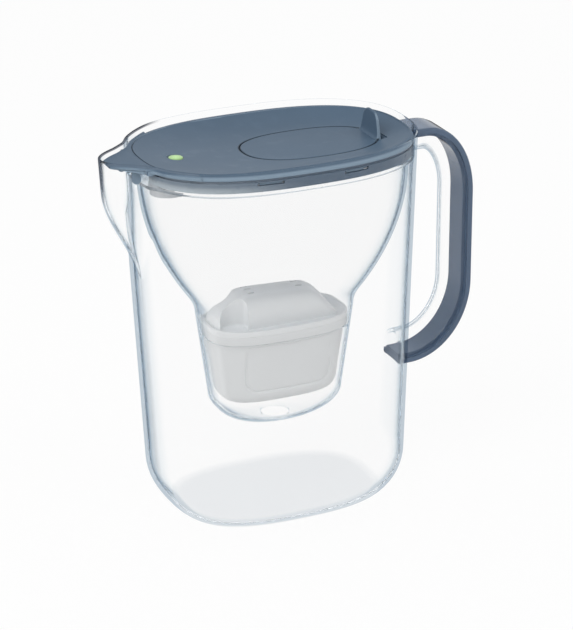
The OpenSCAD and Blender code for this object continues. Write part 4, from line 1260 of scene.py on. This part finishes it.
def painted(node, material):
    """Gives a frame node a finish."""
    obj = frame["nodes"][node]
    obj.data.materials.clear()
    obj.data.materials.append(material)


def clear_plastic(name, density, **looks):
    c = colours()
    return clear(name, tuple(c.clear_body), tuple(c.clear_edge), tuple(c.clear_outline), density, **looks)


def slate_plastic(name, *seams):
    c = colours()
    # The band colour goes on the sides as painted light, and the seams are painted shade.
    return moulded(name, tuple(c.slate), roughness=0.42, specular=0.10, side=tuple(c.band), seams=seams)


class PITCHER_OT_jug(bpy.types.Operator):
    """Builds the clear jug and the channel of its handle"""

    bl_idname = "pitcher.jug"
    bl_label = "Jug"

    def execute(self, context):
        jug = clear_plastic("clear_jug", 4.0, dark_rim=(JUG_HEIGHT, float(jug_outline(JUG_HEIGHT)[:, 0].min())))
        piece("jug_wall", jug_shape(), "jug", ["jug"], jug)
        channel = clear_plastic("clear_handle", 2.0, edge_range=(0.55, 0.85), outline_range=(0.58, 0.72))
        piece("handle_back", channel_shape(), "jug", ["handle_channel"], channel)
        return {"FINISHED"}


class PITCHER_OT_strip(bpy.types.Operator):
    """Builds the coloured strip that closes the handle"""

    bl_idname = "pitcher.strip"
    bl_label = "Handle strip"

    def execute(self, context):
        tone = tuple(colours().strip)
        finish = clear("smoked_strip", tone, tinted(tone, 1.25), tinted(tone, 0.35), 40.0, roughness=0.05, ior=1.4,
                       absorb=(0.30, 0.42, 0.55), edge_range=(0.35, 0.62), outline_range=(0.80, 0.96), weight=0.45)
        piece("handle_strip_cover", strip_shape(), "jug", ["handle_strip"], finish)
        return {"FINISHED"}


class PITCHER_OT_funnel(bpy.types.Operator):
    """Builds the clear funnel with its cartridge cup"""

    bl_idname = "pitcher.funnel"
    bl_label = "Funnel"

    def execute(self, context):
        finish = clear_plastic("clear_funnel", 4.0)
        piece("funnel_bowl", funnel_shape(), "funnel", ["funnel"], finish)
        return {"FINISHED"}


class PITCHER_OT_lid(bpy.types.Operator):
    """Builds the lid's top, with its dish, shoulders and ears, and the ring under it"""

    bl_idname = "pitcher.lid"
    bl_label = "Lid"

    def execute(self, context):
        slate = slate_plastic("slate_lid", FLAP_SEAM, EDGE_SEAM)
        top = raw_object("lid_plate", lid_top_shape())
        combine(top, lid_blocks(), "UNION")
        combine(top, lid_cuts(), "DIFFERENCE")
        shoulders = raw_object("shoulders", spout_plate(261.2, 1.3, 1.0))
        combine(shoulders, shoulder_cuts(), "DIFFERENCE")
        ledge = raw_object("ledge", flap_ledge())
        combine(ledge, [block(50.7, 120, -60, 60, 240, 270)], "DIFFERENCE")
        extra = raw_object("blocks", joined(*ear_blocks(), *snap_tab_shapes(), fin_pocket()))
        join_pieces(top, [shoulders, ledge, extra])
        finished(top, "lid", ["lid_top"], slate)
        # The ring fades to a pale grey toward the spout end and its lower edge: painted light.
        ring_finish = moulded("slate_ring", tuple(colours().deep_slate), roughness=0.3,
                              fade=(linear((176, 186, 193)), -80, 5, 253.5, 258))
        below = raw_object("lid_snap_ring", ring_shape())
        combine(below, ring_cuts(), "DIFFERENCE")
        finished(below, "lid", ["lid_ring"], ring_finish)
        return {"FINISHED"}


class PITCHER_OT_flap(bpy.types.Operator):
    """Builds the refill flap with its thumb fin"""

    bl_idname = "pitcher.flap"
    bl_label = "Refill flap"

    def execute(self, context):
        finish = slate_plastic("slate_flap", FLAP_SEAM)
        flap = raw_object("flap_plate", flap_plate_shape())
        combine(flap, flap_cuts(), "DIFFERENCE")
        combine(flap, [axle(2.6, 13.5, *PIVOT), axle(1.3, 17.1, *PIVOT, edge=0.15), fin_shape()], "UNION")
        finished(flap, "refill_flap", ["refill_flap"], finish)
        return {"FINISHED"}


class PITCHER_OT_cover(bpy.types.Operator):
    """Builds the hinged cover of the spout"""

    bl_idname = "pitcher.cover"
    bl_label = "Spout cover"

    def execute(self, context):
        finish = slate_plastic("slate_cover")
        cover = raw_object("spout_cover_plate", spout_plate(262.4, 1.3, 1.0))
        combine(cover, [cover_keep()], "INTERSECT")
        rail = raw_object("rail", cover_rail())
        combine(rail, [cover_keep()], "INTERSECT")
        hinge = raw_object("hinge", joined(*cover_shapes()))
        back = raw_object("back", axle(2.0, COVER_HALF, *COVER_AXIS, edge=0.02, count=96))
        combine(back, [block(-100, -90, -30, 30, LID_EDGE - 0.02, 270)], "DIFFERENCE")
        join_pieces(cover, [rail, hinge, back])
        finished(cover, "spout_cover", ["spout_cover"], finish)
        return {"FINISHED"}


class PITCHER_OT_cartridge(bpy.types.Operator):
    """Builds the cartridge's housing and its ridged cap"""

    bl_idname = "pitcher.cartridge"
    bl_label = "Cartridge"

    def execute(self, context):
        grey = tuple(colours().cartridge)
        housing = raw_object("cartridge_body", housing_shape())
        combine(housing, [drum(9.0, 79.8, 84.2, (7.0, 0.0), edge=0.6)], "UNION")
        cuts = [block(7 + 2.2 * k - 0.55, 7 + 2.2 * k + 0.55, -4.5, 4.5, 75.3, 87.3) for k in range(-3, 4)]
        combine(housing, [joined(*cuts)], "DIFFERENCE")
        # Painted shade: the side tone makes the housing's long walls darker than its rounded ends.
        finished(housing, "cartridge", ["cartridge_housing"],
                 moulded("cartridge_plastic", grey, roughness=0.42, drift=0.02, specular=0.3, side=tinted(grey, 0.90)))
        cap = raw_object("cartridge_top", ridge_shape())
        combine(cap, ridge_cuts(), "DIFFERENCE")
        join_pieces(cap, [raw_object("cap_plate", cap_plate_shape())])
        # Painted light: the cap is a lighter copy of the housing's grey, and its long sides are darker as painted
        # shade.
        finished(cap, "cartridge", ["cartridge_cap"],
                 moulded("cap_plastic", tinted(grey, 1.07), roughness=0.44, drift=0.02, specular=0.3,
                         side=tinted(grey, 0.95)))
        return {"FINISHED"}


class PITCHER_OT_filter(bpy.types.Operator):
    """Fills the cartridge: inlet and outlet screens and the granules"""

    bl_idname = "pitcher.filter"
    bl_label = "Filter filling"

    def execute(self, context):
        white = moulded("screen_white", linear((238, 240, 241)), roughness=0.5, drift=0.02)
        inlet = raw_object("inlet_screen", between_outlines(flange_ring(0, 3.5)[:, :2], flange_ring(0, 5.2)[:, :2],
                                                            134.9, 135.7))
        grow_screen(inlet, white, (CUP_SHIFT * MM, 0.0), 46.0 * MM, 23.6 * MM, CUP_POWER, 2.4 * MM, 0.5 * MM,
                    135.3 * MM)
        finished(inlet, "cartridge", ["inlet_mesh"], white)
        white_out = moulded("outlet_white", linear((236, 238, 240)), roughness=0.5, drift=0.02)
        circle = np.stack([np.cos(bearings()), -np.sin(bearings())], axis=1)
        middle = np.array([7.0, 0.0])
        outlet = raw_object("outlet_screen", between_outlines(middle + circle * 11.0, middle + circle * 9.6,
                                                              84.85, 85.45))
        grow_screen(outlet, white_out, (7.0 * MM, 0.0), 10.0 * MM, 10.0 * MM, 2.0, 1.6 * MM, 0.35 * MM, 85.15 * MM)
        finished(outlet, "cartridge", ["outlet_mesh"], white_out)
        dark = moulded("granules_dark", linear((52, 50, 48)), roughness=0.8, grain=900.0, drift=0.2)
        rings = [housing_ring(*place) for place in bottom_arc(83.3, 3.0, 8, np.radians(np.linspace(40, 90, 8)))]
        rings += [housing_ring(z, 3.0) for z in np.linspace(96, 128.0, 8)]
        filling = raw_object("granule_bed", loft(rings))
        grow_granules(filling, dark)
        finished(filling, "cartridge", ["filter_granules"], dark)
        return {"FINISHED"}


class PITCHER_OT_light(bpy.types.Operator):
    """Finishes the cartridge change light: button, seal, capsule and the parts inside it"""

    bl_idname = "pitcher.light"
    bl_label = "Change light"

    def execute(self, context):
        grey = linear((216, 219, 222))
        surface = button_surface()
        lens = lens_finish("button_lens", tuple(colours().lens))
        crown = [(-1.6, 4.6), (-1.35, 4.75), (-0.1, 4.75), (0.08, 4.66), (0.18, 4.4), (0.25, 3.6), (0.29, 2.0),
                 (0.3, 0.6)]
        head = loft([ring(disc_outline(r, (BUTTON_X, 0)), surface + z) for z, r in crown])
        stem = drum(1.0, 254.88, surface - 1.3, (BUTTON_X + 2.6, 0), edge=0.15, count=32)
        button = raw_object("button_head", joined(head, stem))
        finished(button, "light_button", ["light_button"], lens)
        foot = 257.78
        height = surface - 0.5 - foot
        seal = rounded([(0.0, 5.79), (height, 5.79), (height, 4.86), (0.0, 4.86)], [0.12, 0.3, 0.3, 0.12], 4,
                       closed=True)
        collar = loft([ring(disc_outline(r, (BUTTON_X, 0)), foot + z) for z, r in seal], loop=True)
        piece("button_collar", collar, "lid", ["button_seal"],
              moulded("seal_rubber", linear((92, 111, 116)), roughness=0.6, grain=1400.0))
        painted("light_capsule", moulded("capsule_grey", grey, roughness=0.4, drift=0.02))
        painted("capsule_hatch", moulded("hatch_grey", grey, roughness=0.45, drift=0.02))
        painted("circuit_board", board_finish("board_green"))
        painted("reset_switch", moulded("switch_black", linear((34, 34, 36)), roughness=0.35))
        painted("light_diode", moulded("diode_clear", linear((232, 238, 214)), roughness=0.12, coat=0.5))
        painted("timer_chip", moulded("chip_black", linear((24, 24, 26)), roughness=0.5, grain=3500.0))
        painted("coin_cell", metal_finish("cell_steel", linear((196, 198, 202)), 0.24))
        painted("cell_contacts", metal_finish("contact_brass", linear((214, 190, 128)), 0.3))
        return {"FINISHED"}


def lens_finish(name, colour):
    """The button's tinted plastic, with a painted highlight and a painted glow in its middle."""
    f = Finish(name)
    x, y = f.along(0) - BUTTON_X * MM, f.along(1)
    away = (x * x + y * y) ** 0.5
    # Painted highlight and painted glow: the middle is lighter and emits a little light.
    glow = away.stepped(0.0, 0.0048, 1.0, 0.0)
    cloud = f.noise(600.0, 3.0)
    base = f.mix(glow * 0.8 + (cloud - 0.5) * 0.15, tinted(colour, 0.92), tinted(colour, 1.16))
    fine = f.noise(3000.0, 2.0)
    lit = f.mix(glow, tinted(colour, 0.10), tinted(colour, 0.24))
    return f.surface(f.principled(Base_Color=base, Roughness=0.28 + (fine - 0.5) * 0.1, Emission_Color=lit,
                                  Emission_Strength=1.0, Normal=f.bump(fine, 0.2, 0.00001),
                                  Subsurface_Weight=0.15, Subsurface_Radius=(0.001, 0.0015, 0.0006)))


def board_finish(name):
    """Solder-masked circuit board with copper tracks."""
    f = Finish(name)
    tracks = f.wire("ShaderNodeTexBrick", None,
                    {"Vector": f.place, "Scale": 420.0, "Mortar Size": 0.06, "Color1": (0, 0, 0, 1),
                     "Color2": (0, 0, 0, 1), "Mortar": (1, 1, 1, 1)}, output="Fac")
    weave = f.noise(1600.0, 2.0)
    base = f.mix(tracks * 0.55, linear((22, 84, 52)), linear((74, 140, 84)))
    base = f.mix(weave * 0.25, base, linear((12, 60, 38)))
    rough = 0.32 + (weave - 0.5) * 0.15
    return f.surface(f.principled(Base_Color=base, Roughness=rough, Normal=f.bump(tracks, 0.3, 0.00003)))


def metal_finish(name, colour, roughness):
    """Rolled sheet metal with fine lines along one way and slight tarnish."""
    f = Finish(name)
    lines = f.noise(900.0, 3.0, stretch=(0.12, 1.0, 1.0))
    dull = f.noise(120.0, 4.0).stepped(0.5, 0.75)
    base = f.mix(dull * 0.4, colour, tinted(colour, 0.72))
    rough = roughness + (lines - 0.5) * 0.14 + dull * 0.12
    return f.surface(f.principled(Base_Color=base, Roughness=rough, Metallic=1.0 - dull * 0.1,
                                  Normal=f.bump(lines, 0.15, 0.00001)))


class PITCHER_OT_stage(bpy.types.Operator):
    """Sets the floor, the light and the camera"""

    bl_idname = "pitcher.stage"
    bl_label = "Stage"

    def execute(self, context):
        s = stage_settings()
        scene = context.scene
        scene.view_settings.view_transform = "Standard"
        set_floor()
        set_room(s.world)
        set_lamp("main_lamp", (-1.35, -0.95, 1.9), 1.6, s.key)
        set_lamp("side_lamp", (1.7, -1.3, 1.2), 1.4, s.fill)
        set_camera(s.focal)
        return {"FINISHED"}


def set_floor():
    """A plain pale floor that is white to the camera and keeps the object's shadow."""
    f = Finish("floor_white")
    path = f.add("ShaderNodeLightPath")
    seen = Wire(f, path.outputs["Is Camera Ray"]).larger(Wire(f, path.outputs["Is Glossy Ray"])).larger(
        Wire(f, path.outputs["Is Transmission Ray"]))
    card = f.principled(Base_Color=linear((254, 254, 254)), Roughness=0.9, Specular_IOR_Level=0.0)
    white = f.add("ShaderNodeEmission", None, {"Color": (1.0, 1.0, 1.0), "Strength": 1.0})
    material = f.surface(f.blend(seen * 0.90, card, white.outputs[0]))
    reach = 6000.0
    corners = [(-reach, -reach, -0.15), (reach, -reach, -0.15), (reach, reach, -0.15), (-reach, reach, -0.15)]
    floor = raw_object("floor", (np.asarray(corners), [[0, 1, 2, 3]]))
    floor.data.materials.append(material)


def set_room(strength):
    """Even light from all round, which the camera, gloss and clear plastic see as white."""
    world = bpy.data.worlds.new("room")
    world.use_nodes = True
    tree = world.node_tree
    tree.nodes.clear()
    path = tree.nodes.new("ShaderNodeLightPath")
    first = tree.nodes.new("ShaderNodeMath")
    first.operation = "MAXIMUM"
    second = tree.nodes.new("ShaderNodeMath")
    second.operation = "MAXIMUM"
    tree.links.new(path.outputs["Is Camera Ray"], first.inputs[0])
    tree.links.new(path.outputs["Is Glossy Ray"], first.inputs[1])
    tree.links.new(first.outputs[0], second.inputs[0])
    tree.links.new(path.outputs["Is Transmission Ray"], second.inputs[1])
    level = tree.nodes.new("ShaderNodeMapRange")
    level.inputs[3].default_value = strength
    level.inputs[4].default_value = 1.0
    tree.links.new(second.outputs[0], level.inputs[0])
    back = tree.nodes.new("ShaderNodeBackground")
    back.inputs["Color"].default_value = (1.0, 1.0, 1.0, 1.0)
    tree.links.new(level.outputs[0], back.inputs["Strength"])
    out = tree.nodes.new("ShaderNodeOutputWorld")
    tree.links.new(back.outputs[0], out.inputs[0])
    bpy.context.scene.world = world


def set_lamp(name, place, size, power):
    lamp = bpy.data.lights.new(name, "AREA")
    lamp.shape = "DISK"
    lamp.size = size
    lamp.energy = power
    obj = bpy.data.objects.new(name, lamp)
    bpy.context.scene.collection.objects.link(obj)
    obj.location = place
    obj.rotation_euler = (Vector((0, 0, 0.13)) - Vector(place)).to_track_quat("-Z", "Y").to_euler()
    return obj


def set_camera(focal):
    data = bpy.data.cameras.new("camera")
    camera = bpy.data.objects.new("camera", data)
    bpy.context.scene.collection.objects.link(camera)
    place, aim = Vector((-0.7018, -1.5783, 0.8493)), Vector((0.01285, 0.0, 0.1362))
    turn = (aim - place).to_track_quat("-Z", "Y").to_matrix() @ Matrix.Rotation(math.radians(-0.08), 3, "Z")
    camera.matrix_world = Matrix.Translation(place) @ turn.to_4x4()
    data.sensor_width = 36.0
    data.lens = focal
    data.shift_x = -0.98 / 630
    data.clip_start = 0.05
    data.clip_end = 30.0
    bpy.context.scene.camera = camera


class PITCHER_PT_panel(bpy.types.Panel):
    """Lists the pitcher's pieces and settings"""

    bl_idname = "PITCHER_PT_panel"
    bl_label = "Water filter pitcher"
    bl_space_type = "VIEW_3D"
    bl_region_type = "UI"
    bl_category = "Pitcher"

    def draw(self, context):
        for step in STEPS:
            self.layout.operator(step.bl_idname)
        for group in (context.scene.pitcher_colours, context.scene.pitcher_stage):
            for key in group.__annotations__:
                self.layout.prop(group, key)


STEPS = [PITCHER_OT_jug, PITCHER_OT_strip, PITCHER_OT_funnel, PITCHER_OT_lid, PITCHER_OT_flap, PITCHER_OT_cover,
         PITCHER_OT_cartridge, PITCHER_OT_filter, PITCHER_OT_light, PITCHER_OT_stage]
CLASSES = [PitcherColours, PitcherStage] + STEPS + [PITCHER_PT_panel]


def register():
    for item in CLASSES:
        bpy.utils.register_class(item)
    bpy.types.Scene.pitcher_colours = PointerProperty(type=PitcherColours)
    bpy.types.Scene.pitcher_stage = PointerProperty(type=PitcherStage)


def unregister():
    del bpy.types.Scene.pitcher_stage
    del bpy.types.Scene.pitcher_colours
    for item in reversed(CLASSES):
        bpy.utils.unregister_class(item)


def main():
    register()
    for step in STEPS:
        group, name = step.bl_idname.split(".")
        if getattr(getattr(bpy.ops, group), name)() != {"FINISHED"}:
            raise RuntimeError(f"{step.bl_label} didn't finish")


if __name__ == "__main__":
    main()
